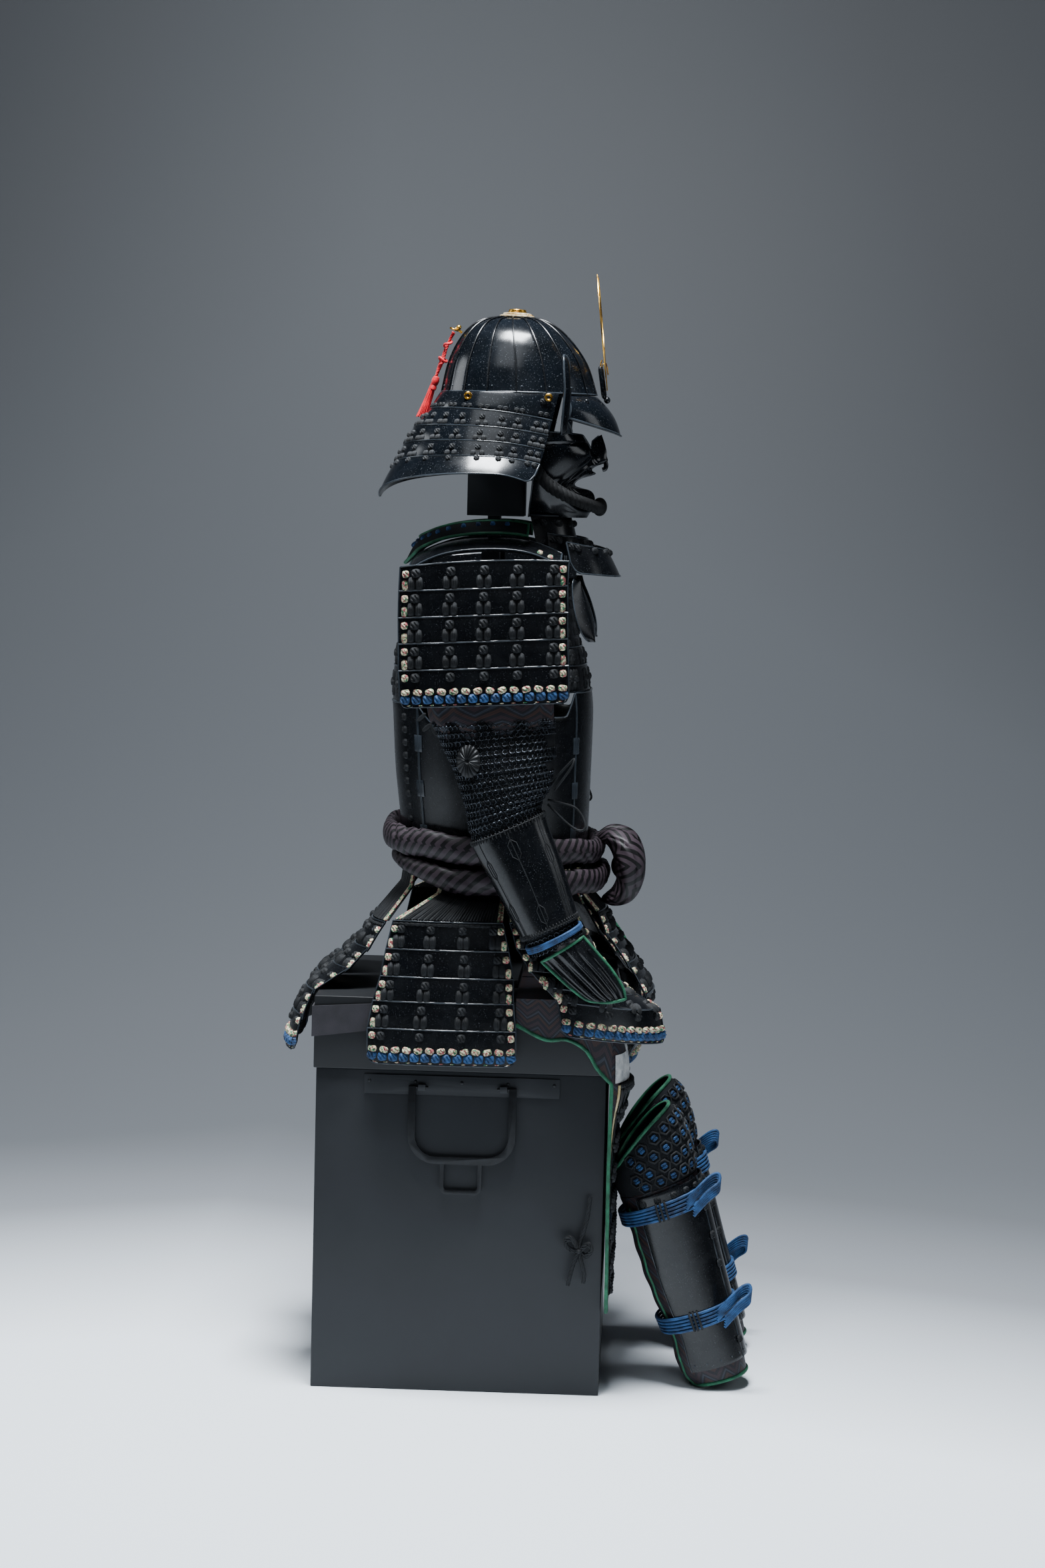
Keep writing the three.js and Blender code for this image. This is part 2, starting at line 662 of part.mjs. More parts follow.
for (const [word, side] of SIDES) {
  add(`shoulder_strap_${word}`, shoulderStrap(side), lacquer);
  add(`leaf_${word}`, leaf(side), lacquer);
}
add("collar", collar(), brocade);

// ---------------------------------------------------------------- shoulder guards
const SHOULDER_GUARD = [
  { z: 1233, rear: -104, front: 141, y: 249 },
  { z: 1198, rear: -105, front: 140, y: 250 },
  { z: 1159, rear: -105, front: 141, y: 251 },
  { z: 1121, rear: -104, front: 142, y: 252 },
  { z: 1082, rear: -103, front: 144, y: 253 },
  { z: 1028, rear: -99, front: 146, y: 253 },
];

function shoulderGuard(side) {
  const rows = lacedRows(SHOULDER_GUARD, "z");
  return panel(6, rows.length - 1, mirrored((across, down, through) => {
    const now = rows[Math.round(down * (rows.length - 1))];
    const turn = across * 2 - 1;
    const x = mix(now.rear, now.front, across);
    const tilt = 0.058 * (x - 20);
    return new THREE.Vector3(
      x,
      -(now.y + 6 * (1 - turn * turn) + now.proud - LEDGE - (1 - through) * LACED),
      now.z + tilt + (down < 0.05 ? 5 * (1 - turn * turn) : 0),
    );
  }, side));
}

for (const [word, side] of SIDES) add(`shoulder_guard_${word}`, shoulderGuard(side), lacquer);

// ---------------------------------------------------------------- armoured sleeves
const SLEEVE = [
  { rearX: -52, rearZ: 1192, frontX: 106, frontZ: 1196, y: 182, half: 22 },
  { rearX: -58, rearZ: 1108, frontX: 118, frontZ: 1114, y: 206, half: 24 },
  { rearX: -60, rearZ: 1021, frontX: 122, frontZ: 1026, y: 214, half: 26 },
  { rearX: -41, rearZ: 973, frontX: 124, frontZ: 992, y: 216, half: 27 },
  { rearX: -19, rearZ: 930, frontX: 126, frontZ: 952, y: 224, half: 30 },
  { rearX: -1, rearZ: 880, frontX: 120, frontZ: 910, y: 232, half: 31 },
  { rearX: 11, rearZ: 832, frontX: 108, frontZ: 875, y: 236, half: 32 },
  { rearX: 52, rearZ: 758, frontX: 137, frontZ: 796, y: 239, half: 31 },
  { rearX: 92, rearZ: 686, frontX: 162, frontZ: 720, y: 242, half: 28 },
  { rearX: 104, rearZ: 662, frontX: 171, frontZ: 700, y: 243, half: 26 },
];

// A point round the sleeve at a place along it. Angle 0 faces forward, and the outer side is at 90 degrees.
function sleevePoint(along, angle, grow) {
  const at = row(SLEEVE.map((r, i) => ({ ...r, place: i / (SLEEVE.length - 1) })), "place", along);
  const half = new THREE.Vector3((at.frontX - at.rearX) / 2, 0, (at.frontZ - at.rearZ) / 2);
  const reach = half.length();
  const forward = half.clone().normalize();
  return new THREE.Vector3((at.frontX + at.rearX) / 2, -at.y, (at.frontZ + at.rearZ) / 2)
    .addScaledVector(forward, (reach + grow) * signedPower(Math.cos(angle), 0.9))
    .add(new THREE.Vector3(0, -(at.half + grow) * signedPower(Math.sin(angle), 0.9), 0));
}

function sleeve(side) {
  return tube(12, SLEEVE.length - 1, mirrored((round, up, through) =>
    sleevePoint(1 - up, round * 2 * Math.PI, (through - 1) * CLOTH), side));
}

// Iron splints over the outer half of the forearm.
function forearmPlates(side) {
  const places = [0.675, 7 / 9, 0.885];
  return panel(8, 2, mirrored((across, down, through) =>
    sleevePoint(places[Math.round(down * 2)], radians(mix(-14, 194, across)), 1.6 + through * 3), side));
}

const HAND = [
  { rearX: 116, rearZ: 655, frontX: 176, frontZ: 694, out: 252 },
  { rearX: 138, rearZ: 636, frontX: 194, frontZ: 674, out: 255 },
  { rearX: 162, rearZ: 616, frontX: 216, frontZ: 650, out: 256 },
  { rearX: 184, rearZ: 601, frontX: 235, frontZ: 622, out: 254 },
  { rearX: 203, rearZ: 598, frontX: 240, frontZ: 604, out: 251 },
];

function handGuard(side) {
  return panel(6, HAND.length - 1, mirrored((across, down, through) => {
    const at = HAND[Math.round(down * (HAND.length - 1))];
    const turn = across * 2 - 1;
    return new THREE.Vector3(
      mix(at.rearX, at.frontX, across),
      -(at.out + 14 * (1 - turn * turn) + through * 2.5),
      mix(at.rearZ, at.frontZ, across),
    );
  }, side));
}

for (const [word, side] of SIDES) {
  add(`sleeve_${word}`, sleeve(side), brocade);
  add(`forearm_plates_${word}`, forearmPlates(side), lacquer);
  add(`hand_guard_${word}`, handGuard(side), lacquer);
}

// ---------------------------------------------------------------- sash
// Each row: the roll's middle height, half its height, its depth and its stand-off, at the rear, sides and front.
const SASH_UPPER = [
  { z: 818, rise: 23, depth: 26, out: 2 }, { z: 806, rise: 23, depth: 27, out: 2 }, { z: 800, rise: 19, depth: 27, out: 2 },
];
const SASH_LOWER = [
  { z: 785, rise: 9, depth: 13, out: 3 }, { z: 760, rise: 21, depth: 27, out: 12 }, { z: 758, rise: 20, depth: 25, out: 13 },
];

// A rolled cloth belt round the body armour.
function sashRoll([rear, middle, front]) {
  const ring = new THREE.TorusGeometry(10, 1, 6, 28);
  return reshaped(ring, (p) => {
    const around = Math.atan2(p.y, p.x);
    const radial = Math.hypot(p.x, p.y) - 10;
    const forward = Math.cos(around);
    const towards = forward > 0 ? front : rear;
    const at = {};
    for (const name of Object.keys(middle)) at[name] = mix(middle[name], towards[name], Math.abs(forward) ** 1.5);
    const wide = row(CUIRASS, "z", at.z + at.rise);
    const grow = at.out + (at.depth / 2) * (1 + radial);
    return oval({
      z: at.z + p.z * at.rise, rear: wide.rear - grow, front: wide.front + grow, half: wide.half + grow,
    }, around, 0.82);
  });
}

// A solid with the roll's own outline in plan, to fit another piece against it.
function ovalBlock(plan, low, high) {
  const points = [];
  for (let i = 0; i < 56; i += 1) {
    const p = oval({ ...plan, z: 0 }, (i / 56) * 2 * Math.PI, 0.82);
    points.push(new THREE.Vector2(p.x, p.y));
  }
  const body = new THREE.ExtrudeGeometry(new THREE.Shape(points), { depth: high - low, bevelEnabled: false });
  body.translate(0, 0, low);
  return body;
}

// The flat cloth knot at the front, with two ends that hang.
function sashBow() {
  const lobe = (x, y, z, size, turn) => {
    const loop = new THREE.SphereGeometry(1, 8, 5);
    loop.scale(...size);
    loop.rotateX(turn);
    loop.translate(x, y, z);
    return loop;
  };
  return carved([
    lobe(222, 0, 788, [18, 24, 22], 0),
    lobe(224, -50, 800, [36, 44, 31], -0.35),
    lobe(224, 50, 800, [36, 44, 31], 0.35),
    lobe(235, -34, 752, [20, 26, 44], -0.4),
    lobe(235, 34, 752, [20, 26, 44], 0.4),
  ], [
    ovalBlock({ rear: -60, front: 203.8, half: 182 }, 778, 880),
    ovalBlock({ rear: -60, front: 210.9, half: 190.5 }, 680, 779),
  ]);
}

add("sash_upper", sashRoll(SASH_UPPER), blackCloth);
add("sash_lower", sashRoll(SASH_LOWER), blackCloth);
add("sash_bow", sashBow(), blackCloth);

// ---------------------------------------------------------------- tassets
// Each tasset hangs from the cuirass by its lacing, the first rows, and then by its plates.
// The tables give both corners of each row in plan and how far the row bows outward.
const HANG = 774.6;
const TASSET_SIDE = [
  { z: HANG, x0: -36, y0: -146, x1: 54, y1: -146, bow: 3 },
  { z: 738, x0: -46, y0: -151, x1: 55, y1: -151, bow: 4 },
  { z: 704, x0: -106, y0: -209, x1: 56, y1: -209, bow: 8 },
  { z: 663, x0: -115, y0: -217, x1: 66, y1: -217, bow: 9 },
  { z: 623, x0: -122, y0: -224, x1: 74, y1: -224, bow: 9 },
  { z: 587, x0: -132, y0: -230, x1: 75, y1: -230, bow: 9 },
  { z: 547, x0: -139, y0: -235, x1: 80, y1: -235, bow: 9 },
  { z: 495, x0: -138, y0: -238, x1: 81, y1: -238, bow: 9 },
];
const TASSET_FRONT_SIDE = [
  { z: HANG, x0: 60, y0: -144, x1: 144, y1: -82, bow: 15, drop: 0 },
  { z: 738, x0: 61, y0: -149, x1: 148, y1: -85, bow: 16, drop: 0 },
  { z: 704, x0: 66, y0: -203, x1: 170, y1: -104, bow: 20, drop: 8 },
  { z: 668, x0: 78, y0: -213, x1: 195, y1: -114, bow: 22, drop: 14 },
  { z: 637, x0: 98, y0: -222, x1: 222, y1: -122, bow: 28, drop: 18 },
  { z: 615, x0: 120, y0: -229, x1: 252, y1: -128, bow: 57, drop: 20 },
  { z: 595, x0: 140, y0: -234, x1: 288, y1: -131, bow: 58, drop: 20 },
  { z: 544, x0: 150, y0: -240, x1: 298, y1: -131, bow: 50, drop: 20 },
];
// The left one hangs closer in, as nothing presses it forward.
const TASSET_FRONT_LEFT = TASSET_FRONT_SIDE.map((r) => {
  const pull = Math.min(1, Math.max(0, (630 - r.z) / 35));
  return { ...r, x1: r.x1 - 34 * pull, y1: r.y1 - 20 * pull, bow: r.bow - 2 * pull };
});
const TASSET_REAR = [
  { z: HANG, x0: -82, y0: -97, x1: -104, y1: -6, bow: 5 },
  { z: 742, x0: -88, y0: -101, x1: -109, y1: -6, bow: 5 },
  { z: 690, x0: -124, y0: -128, x1: -140, y1: -7, bow: 16 },
  { z: 652, x0: -148, y0: -142, x1: -162, y1: -8, bow: 18 },
  { z: 622, x0: -176, y0: -154, x1: -192, y1: -9, bow: 20 },
  { z: 590, x0: -226, y0: -164, x1: -228, y1: -10, bow: 17 },
  { z: 554, x0: -242, y0: -174, x1: -246, y1: -11, bow: 18 },
  { z: 500, x0: -254, y0: -182, x1: -258, y1: -12, bow: 18 },
];
const TASSET_FRONT = [
  { z: HANG, x0: 162, y0: -66, x1: 162, y1: 66, bow: 8 },
  { z: 740, x0: 167, y0: -68, x1: 167, y1: 68, bow: 8 },
  { z: 708, x0: 194, y0: -72, x1: 194, y1: 72, bow: 11 },
  { z: 675, x0: 209, y0: -76, x1: 209, y1: 76, bow: 11 },
  { z: 632, x0: 242, y0: -80, x1: 242, y1: 80, bow: 11 },
  { z: 585, x0: 271, y0: -84, x1: 271, y1: 84, bow: 11 },
  { z: 525, x0: 262, y0: -88, x1: 262, y1: 88, bow: 11 },
  { z: 474, x0: 240, y0: -90, x1: 240, y1: 90, bow: 11 },
];

// How far out of a chord, in plan, its outward side points: away from the body's middle.
function tasset(table, side) {
  const [head, tuck, ...plates] = table;
  const brim = Object.fromEntries(Object.keys(tuck).map((k) => [k, mix(tuck[k], plates[0][k], 0.94)]));
  const rows = [head, tuck, brim].map((r) => ({ ...r, proud: 0 })).concat(lacedRows(plates, "z"));
  return panel(6, rows.length - 1, mirrored((across, down, through) => {
    const now = rows[Math.round(down * (rows.length - 1))];
    const chord = new THREE.Vector2(now.x1 - now.x0, now.y1 - now.y0);
    const out = new THREE.Vector2(chord.y, -chord.x).normalize();
    if (out.x * ((now.x0 + now.x1) / 2 - 30) + out.y * ((now.y0 + now.y1) / 2) < 0) out.negate();
    const turn = across * 2 - 1;
    const move = now.bow * (1 - turn * turn) + now.proud - LEDGE - (1 - through) * LACED;
    return new THREE.Vector3(
      mix(now.x0, now.x1, across) + out.x * move,
      mix(now.y0, now.y1, across) + out.y * move,
      now.z - (now.drop ?? 0) * across,
    );
  }, side));
}

add("tasset_front", tasset(TASSET_FRONT, RIGHT), lacquer);
for (const [word, side] of SIDES) {
  add(`tasset_front_${word}`, tasset(side === RIGHT ? TASSET_FRONT_SIDE : TASSET_FRONT_LEFT, side), lacquer);
  add(`tasset_side_${word}`, tasset(TASSET_SIDE, side), lacquer);
  add(`tasset_rear_${word}`, tasset(TASSET_REAR, side), lacquer);
}

// ---------------------------------------------------------------- thigh guard
const THIGH = { inner: -6, outer: -222.4, rearX: 79 };
const THIGH_FRONT = [
  { z: 592.5, x: 222.6, bulge: 0 },
  { z: 560, x: 222.8, bulge: 2 },
  { z: 505, x: 223, bulge: 5 },
  { z: 457, x: 223, bulge: 12 },
  { z: 406, x: 222.5, bulge: 5 },
  { z: 330, x: 222, bulge: 0 },
  { z: 185, x: 222, bulge: 2 },
  { z: 129, x: 222, bulge: 2 },
];

// One half of the apron: it lies on the lid, turns down over its side and hangs down its front.
function thighPanel(side) {
  const { inner, outer, rearX } = THIGH;
  const top = LID.top + GAP;
  const sheet = panel(6, THIGH_FRONT.length - 1, (across, down, through) => {
    const at = THIGH_FRONT[Math.round(down * (THIGH_FRONT.length - 1))];
    const swell = at.bulge * Math.sin(Math.PI * Math.min(1, across * 1.3));
    return new THREE.Vector3(at.x + swell - (1 - through) * CLOTH, mix(inner, outer, across), at.z);
  });
  const edge = new THREE.Shape([
    [rearX, 554], [125, 533], [157, 534], [186, 517], [200, 493], [222.4, 470], [222.4, top + 2.4], [rearX, top + 2.4],
  ].map(([x, z]) => new THREE.Vector2(x, z)));
  const flap = new THREE.ExtrudeGeometry(edge, { depth: CLOTH, bevelEnabled: false });
  flap.rotateX(Math.PI / 2);
  flap.translate(0, outer + CLOTH, 0);
  const shape = carved([block(rearX, 222.4, outer, inner, top, top + CLOTH), sheet, flap]);
  return reshaped(shape.scale(1, -side, 1), (p) => p);
}

// The waist band, carried round the sides and rear of the lid.
function thighBelt() {
  const low = 530;
  const high = 574;
  const out = LID.half + GAP;
  const plan = [
    { x: 77, y: -out, low: 553, high: 587.5 }, { x: -137, y: -out, low: 540, high: 581 },
    { x: -out, y: -out, low, high }, { x: -out, y: 0, low, high }, { x: -out, y: out, low, high },
    { x: -137, y: out, low: 540, high: 581 }, { x: 77, y: out, low: 553, high: 587.5 },
  ];
  return panel(plan.length - 1, 1, (across, down, through) => {
    const at = plan[Math.round(across * (plan.length - 1))];
    const grow = through * CLOTH;
    return new THREE.Vector3(
      at.x < -200 ? at.x - grow : at.x,
      at.y + Math.sign(at.y) * grow,
      mix(at.high, at.low, down),
    );
  });
}

for (const [word, side] of SIDES) add(`thigh_panel_${word}`, thighPanel(side), brocade);
add("thigh_belt", thighBelt(), blackCloth);

// ---------------------------------------------------------------- shin guards
// Each leans back on its heel: height is along the shin, rear and front are across it.
const SHIN = [
  { along: 14, rear: -46, front: 42, half: 50, slant: 0 },
  { along: 36, rear: -58, front: 43, half: 54, slant: 0 },
  { along: 91, rear: -60, front: 43, half: 56, slant: 0 },
  { along: 186, rear: -73, front: 43, half: 58, slant: 0 },
  { along: 262, rear: -77, front: 44, half: 59, slant: 0 },
  { along: 322, rear: -79, front: 44, half: 60, slant: 0.1 },
];
const KNEE = [
  { along: 322.6, rear: -79, front: 44, half: 60, slant: 0.1, crown: 0 },
  { along: 345, rear: -81, front: 46, half: 62, slant: 0.25, crown: 0 },
  { along: 378, rear: -81, front: 42, half: 62, slant: 0.55, crown: 5 },
  { along: 396, rear: -79, front: 28, half: 58, slant: 0.74, crown: 9 },
];
const LEAN = radians(16);

function shinPoint(at, angle, grow, side) {
  const across = new THREE.Vector2(
    (at.front + at.rear) / 2 + ((at.front - at.rear) / 2 + grow) * signedPower(Math.cos(angle), 0.9),
    (at.half + grow) * signedPower(Math.sin(angle), 0.9),
  );
  const crown = (at.crown ?? 0) * Math.sin(angle) ** 2;
  const along = at.along + at.slant * (across.x - (at.front + at.rear) / 2) + crown;
  return new THREE.Vector3(
    (side === RIGHT ? 402 : 405) - along * Math.sin(LEAN) + across.x * Math.cos(LEAN),
    -112 + across.y,
    along * Math.cos(LEAN) + across.x * Math.sin(LEAN),
  );
}

function shinCloth(side) {
  return tube(12, SHIN.length - 1, mirrored((round, up, through) =>
    shinPoint(SHIN[Math.round(up * (SHIN.length - 1))], round * 2 * Math.PI, (through - 1) * CLOTH, side), side));
}

function kneeGuard(side) {
  return tube(12, KNEE.length - 1, mirrored((round, up, through) =>
    shinPoint(KNEE[Math.round(up * (KNEE.length - 1))], round * 2 * Math.PI, (through - 1) * 4, side), side));
}

function shinPlates(side) {
  const heights = [319, 262, 186, 91, 36, 26];
  return panel(10, heights.length - 1, mirrored((across, down, through) =>
    shinPoint(row(SHIN, "along", heights[Math.round(down * (heights.length - 1))]),
      radians(mix(-122, 122, across)), 2.4 + through * 3, side), side));
}

for (const [word, side] of SIDES) {
  add(`shin_cloth_${word}`, shinCloth(side), brocade);
  add(`knee_guard_${word}`, kneeGuard(side), blackCloth);
  add(`shin_plates_${word}`, shinPlates(side), lacquer);
}

export default armour;
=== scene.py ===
# Samurai armour set out on its storage chest and stand: the finished surfaces, cords and cloth
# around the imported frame. Tables are in millimetres, in the frame's own axes: +X is forward,
# +Y is the wearer's left, +Z is up, and the origin is on the floor under the middle of the chest.
import math
import random

import bpy
import numpy as np
from mathutils import Matrix, Vector


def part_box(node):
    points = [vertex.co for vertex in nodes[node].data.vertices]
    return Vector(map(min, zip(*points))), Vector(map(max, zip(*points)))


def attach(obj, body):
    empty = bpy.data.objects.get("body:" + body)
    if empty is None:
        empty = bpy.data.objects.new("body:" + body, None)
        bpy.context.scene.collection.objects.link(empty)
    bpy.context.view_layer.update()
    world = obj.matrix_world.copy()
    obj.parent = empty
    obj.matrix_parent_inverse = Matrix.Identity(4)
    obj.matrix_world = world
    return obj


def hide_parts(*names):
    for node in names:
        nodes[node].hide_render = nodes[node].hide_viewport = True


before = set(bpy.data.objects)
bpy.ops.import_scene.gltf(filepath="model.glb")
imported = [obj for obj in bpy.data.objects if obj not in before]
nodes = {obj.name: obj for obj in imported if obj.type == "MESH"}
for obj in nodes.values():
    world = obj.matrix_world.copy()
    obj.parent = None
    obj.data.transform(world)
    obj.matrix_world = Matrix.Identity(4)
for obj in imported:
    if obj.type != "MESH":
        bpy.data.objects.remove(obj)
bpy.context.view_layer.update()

random.seed(11)
MM = 0.001
SIDES = (("right", -1), ("left", 1))

# ------------------------------------------------------------------------------ camera
# A long lens above chest height, five metres off the wearer's right side, tipped down a little.
PITCH, YAW, ROLL = 0.0917, -0.0368, 0.0246
CAMERA_AT = (0.266, -5.262, 1.376)
forward = Vector((math.sin(YAW) * math.cos(PITCH), math.cos(YAW) * math.cos(PITCH), -math.sin(PITCH)))
level = Vector((math.cos(YAW), -math.sin(YAW), 0))
upright = level.cross(forward)
camera_right = level * math.cos(ROLL) + upright * math.sin(ROLL)
camera_up = upright * math.cos(ROLL) - level * math.sin(ROLL)
lens = bpy.data.cameras.new("camera")
lens.lens = 79.4
lens.sensor_width = 36
lens.clip_end = 60
camera = bpy.data.objects.new("camera", lens)
turned = Matrix((camera_right, camera_up, -forward)).transposed().to_4x4()
camera.matrix_world = Matrix.Translation(CAMERA_AT) @ turned
bpy.context.scene.collection.objects.link(camera)
bpy.context.scene.camera = camera


# ------------------------------------------------------------------------------ light
# Soft boxes: a wide one overhead, a smaller one in front of it that the lacquer mirrors, and a
# weak fill, so that black surfaces read by their highlights while the backdrop falls off to grey,
# with the lamps' own falloff and painted shade in the cove's paint.
def soft_box(name, place, aim, size, power):
    """A square area light at a place, aimed at another, both in metres."""
    light = bpy.data.lights.new(name, "AREA")
    light.shape = "SQUARE"
    light.size = size
    light.energy = power
    light.color = (0.9, 0.95, 1.0)
    box = bpy.data.objects.new(name, light)
    box.location = place
    box.rotation_euler = (Vector(aim) - Vector(place)).to_track_quat("-Z", "Y").to_euler()
    bpy.context.scene.collection.objects.link(box)


soft_box("overhead", (-0.05, -0.6, 3.9), (0.1, 0, 0), 0.95, 450)
soft_box("mirror_box", (-0.5, -2.5, 3.7), (0.05, 0, 1.2), 1.7, 26)
soft_box("rear_edge", (-2.6, 0.4, 2.2), (0, 0, 1.0), 1.0, 16)
soft_box("front_edge", (2.8, -0.6, 2.0), (0, 0, 0.9), 1.0, 8)
soft_box("fill", (0.4, -5.2, 2.4), (0, 0, 0.8), 2.2, 3)
world = bpy.data.worlds.new("studio")
world.use_nodes = True
world.node_tree.nodes["Background"].inputs["Color"].default_value = (0.016, 0.018, 0.022, 1)
world.node_tree.nodes["Background"].inputs["Strength"].default_value = 1.0
bpy.context.scene.world = world


# ------------------------------------------------------------------------------ floor
# Matt painted studio cove: pale floor and a wall that runs up out of it in one sweep.
def linear(code):
    """An sRGB hex colour as the linear values that a node takes."""
    parts = [int(code[i:i + 2], 16) / 255 for i in (1, 3, 5)]
    return (*(c / 12.92 if c < 0.04045 else ((c + 0.055) / 1.055) ** 2.4 for c in parts), 1)


def add_node(tree, kind, settings=None, **inputs):
    """Adds a shader node. Settings are its own properties; inputs are values or other nodes' sockets."""
    made = tree.nodes.new("ShaderNode" + kind)
    for name, value in (settings or {}).items():
        if name == "stops":
            ramp = made.color_ramp
            while len(ramp.elements) < len(value):
                ramp.elements.new(0.5)
            for stop, (place, code) in zip(ramp.elements, value):
                stop.position = place
                stop.color = linear(code)
        else:
            setattr(made, name, value)
    for name, value in inputs.items():
        socket = made.inputs[int(name[1:])] if name[1:].isdigit() else made.inputs[name.replace("_", " ")]
        if isinstance(value, bpy.types.NodeSocket):
            tree.links.new(value, socket)
        else:
            socket.default_value = value
    return made


def new_material(name, slot=None):
    """An empty material, with the record's slot that pieces made of it belong to."""
    material = bpy.data.materials.new(name)
    material.use_nodes = True
    material.node_tree.nodes.clear()
    if slot:
        material["slot"] = slot
    return material, material.node_tree


def values_of(items, name, size, kind=float):
    """One value of every vertex, corner or face of a mesh, a row each."""
    values = np.empty(len(items) * size, kind)
    items.foreach_get(name, values)
    return values.reshape(-1, size)


def in_edit_mode(*steps):
    """Takes steps in edit mode with the whole of the active piece selected."""
    bpy.ops.object.mode_set(mode="EDIT")
    bpy.ops.mesh.select_all(action="SELECT")
    for step in steps:
        step()
    bpy.ops.object.mode_set(mode="OBJECT")


ARMOUR_AXIS = 30


def shaped_grid(name, columns, rows, where, inside=None, closed=False):
    """A grid primitive with its vertices moved to where(across, down), in millimetres.

    Across and down run from 0 to 1. Its UV map is in metres along the cloth or plate. The faces
    are turned away from the inside point, which is the armour's upright axis unless it is given."""
    bpy.ops.object.select_all(action="DESELECT")
    bpy.ops.mesh.primitive_grid_add(x_subdivisions=columns, y_subdivisions=rows, size=1)
    piece = bpy.context.object
    piece.name = piece.data.name = name
    mesh = piece.data
    flat = values_of(mesh.vertices, "co", 3)
    places = np.array([where(x + 0.5, 0.5 - y) for x, y in flat[:, :2]]) * MM
    mesh.vertices.foreach_set("co", places.ravel())
    net = places.reshape(rows + 1, columns + 1, 3)
    width = np.linalg.norm(np.diff(net, axis=1), axis=2).sum(axis=1).mean()
    length = np.linalg.norm(np.diff(net, axis=0), axis=2).sum(axis=0).mean()
    corners = values_of(mesh.loops, "vertex_index", 1, int).ravel()
    spread = (flat[corners, :2] + 0.5) * (width, length)
    mesh.uv_layers[0].data.foreach_set("uv", spread.ravel())
    mesh.update()
    normals = values_of(mesh.polygons, "normal", 3)
    centres = values_of(mesh.polygons, "center", 3)
    if closed:
        heart = places.mean(axis=0)
    elif inside is not None:
        heart = np.array(inside) * MM
    else:
        heart = np.array((ARMOUR_AXIS * MM, 0, places[:, 2].mean()))
    if (normals * (centres - heart)).sum() < 0:
        mesh.flip_normals()
    if closed:
        in_edit_mode(lambda: bpy.ops.mesh.remove_doubles(threshold=1e-5))
    return piece


COVE_WIDTH, COVE_LENGTH, COVE_NEAR = 9000, 13800, -6500
BEND_STARTS, BEND_RADIUS = 1500, 2600
UNDER_CHEST = -0.4


def cove(across, down):
    """A point on the cove: it runs back flat, bends up round a quarter circle and ends upright."""
    reach = COVE_WIDTH * (across - 0.5)
    run = COVE_LENGTH * (1 - down) + COVE_NEAR
    if run <= BEND_STARTS:
        return reach, run, UNDER_CHEST
    turn = min((run - BEND_STARTS) / BEND_RADIUS, math.pi / 2)
    rise = max(0, run - BEND_STARTS - BEND_RADIUS * math.pi / 2)
    return (reach, BEND_STARTS + BEND_RADIUS * math.sin(turn),
            BEND_RADIUS * (1 - math.cos(turn)) + rise + UNDER_CHEST)


painted_cove, tree = new_material("matt_cove_paint_painted_falloff")
place = add_node(tree, "TexCoord").outputs["Object"]
split = add_node(tree, "SeparateXYZ", _0=place)
# the paint is a painted pool of light in front, with painted shade falling off toward the back and to
# either side, and it ends in dark boards in front of the armour's right side, which its lacquer mirrors
aside = add_node(tree, "Math", {"operation": "ADD"}, _0=split.outputs[0], _1=0.5)
aside = add_node(tree, "Math", {"operation": "ABSOLUTE"}, _0=aside.outputs[0])
side_share = add_node(tree, "Math", {"operation": "MULTIPLY_ADD"}, _0=aside.outputs[0], _1=0.45,
                      _2=split.outputs[1])
back = add_node(tree, "MapRange", Value=side_share.outputs[0], From_Min=-2.5, From_Max=5.0)
tone = add_node(tree, "ValToRGB", {"stops": [
    (0.08, "#202224"), (0.15, "#f1f8ff"), (0.34, "#eff5fb"), (0.41, "#c3c8ce"), (0.48, "#85888d"),
    (0.57, "#686b6f"), (0.67, "#64676b"), (0.80, "#5b5e62"), (0.87, "#56595d"), (0.96, "#414347"),
]}, Fac=back.outputs[0])
coat = add_node(tree, "BsdfPrincipled", Base_Color=tone.outputs[0], Roughness=0.6)
# the cove shows its painted side alone, so that its wall doesn't hide the armour's back
side_seen = add_node(tree, "NewGeometry").outputs["Backfacing"]
clear = add_node(tree, "BsdfTransparent")
one_sided = add_node(tree, "MixShader", _0=side_seen, _1=coat.outputs[0], _2=clear.outputs[0])
add_node(tree, "OutputMaterial", Surface=one_sided.outputs[0])
floor = shaped_grid("floor", 8, 96, cove, inside=(0, 0, 9000))
floor.data.materials.append(painted_cove)
bpy.ops.object.shade_smooth()
if floor.data.polygons[0].normal.z < 0:
    floor.data.flip_normals()


# ------------------------------------------------------------------------------ storage chest
# Wooden box with a lid that drops over its rim, painted matt grey-black; the lid has a darker
# copy of the paint, painted shade. A riveted iron plate on each end carries a forged bail.
chest_paint, tree = new_material("matt_chest_paint", "chest_paint")
place = add_node(tree, "TexCoord").outputs["Object"]
cloud = add_node(tree, "TexNoise", Vector=place, Scale=5.0, Detail=6.0, Roughness=0.6)
shade = add_node(tree, "ValToRGB", {"stops": [(0.3, "#17191c"), (0.7, "#1f2124")]}, Fac=cloud.outputs[0])
# brush drag in the paint, about 2 mm from hair to hair, drawn along the boards
drag = add_node(tree, "Mapping", Vector=place, Scale=(18, 18, 420))
brush = add_node(tree, "TexNoise", Vector=drag.outputs[0], Scale=1.0, Detail=3.0)
rough = add_node(tree, "MapRange", Value=cloud.outputs[0], To_Min=0.42, To_Max=0.6)
dent = add_node(tree, "Bump", Height=brush.outputs[0], Strength=0.12, Distance=0.0004)
paint = add_node(tree, "BsdfPrincipled", Base_Color=shade.outputs[0], Roughness=rough.outputs[0],
                 Normal=dent.outputs[0], Specular_IOR_Level=0.28)
add_node(tree, "OutputMaterial", Surface=paint.outputs[0])


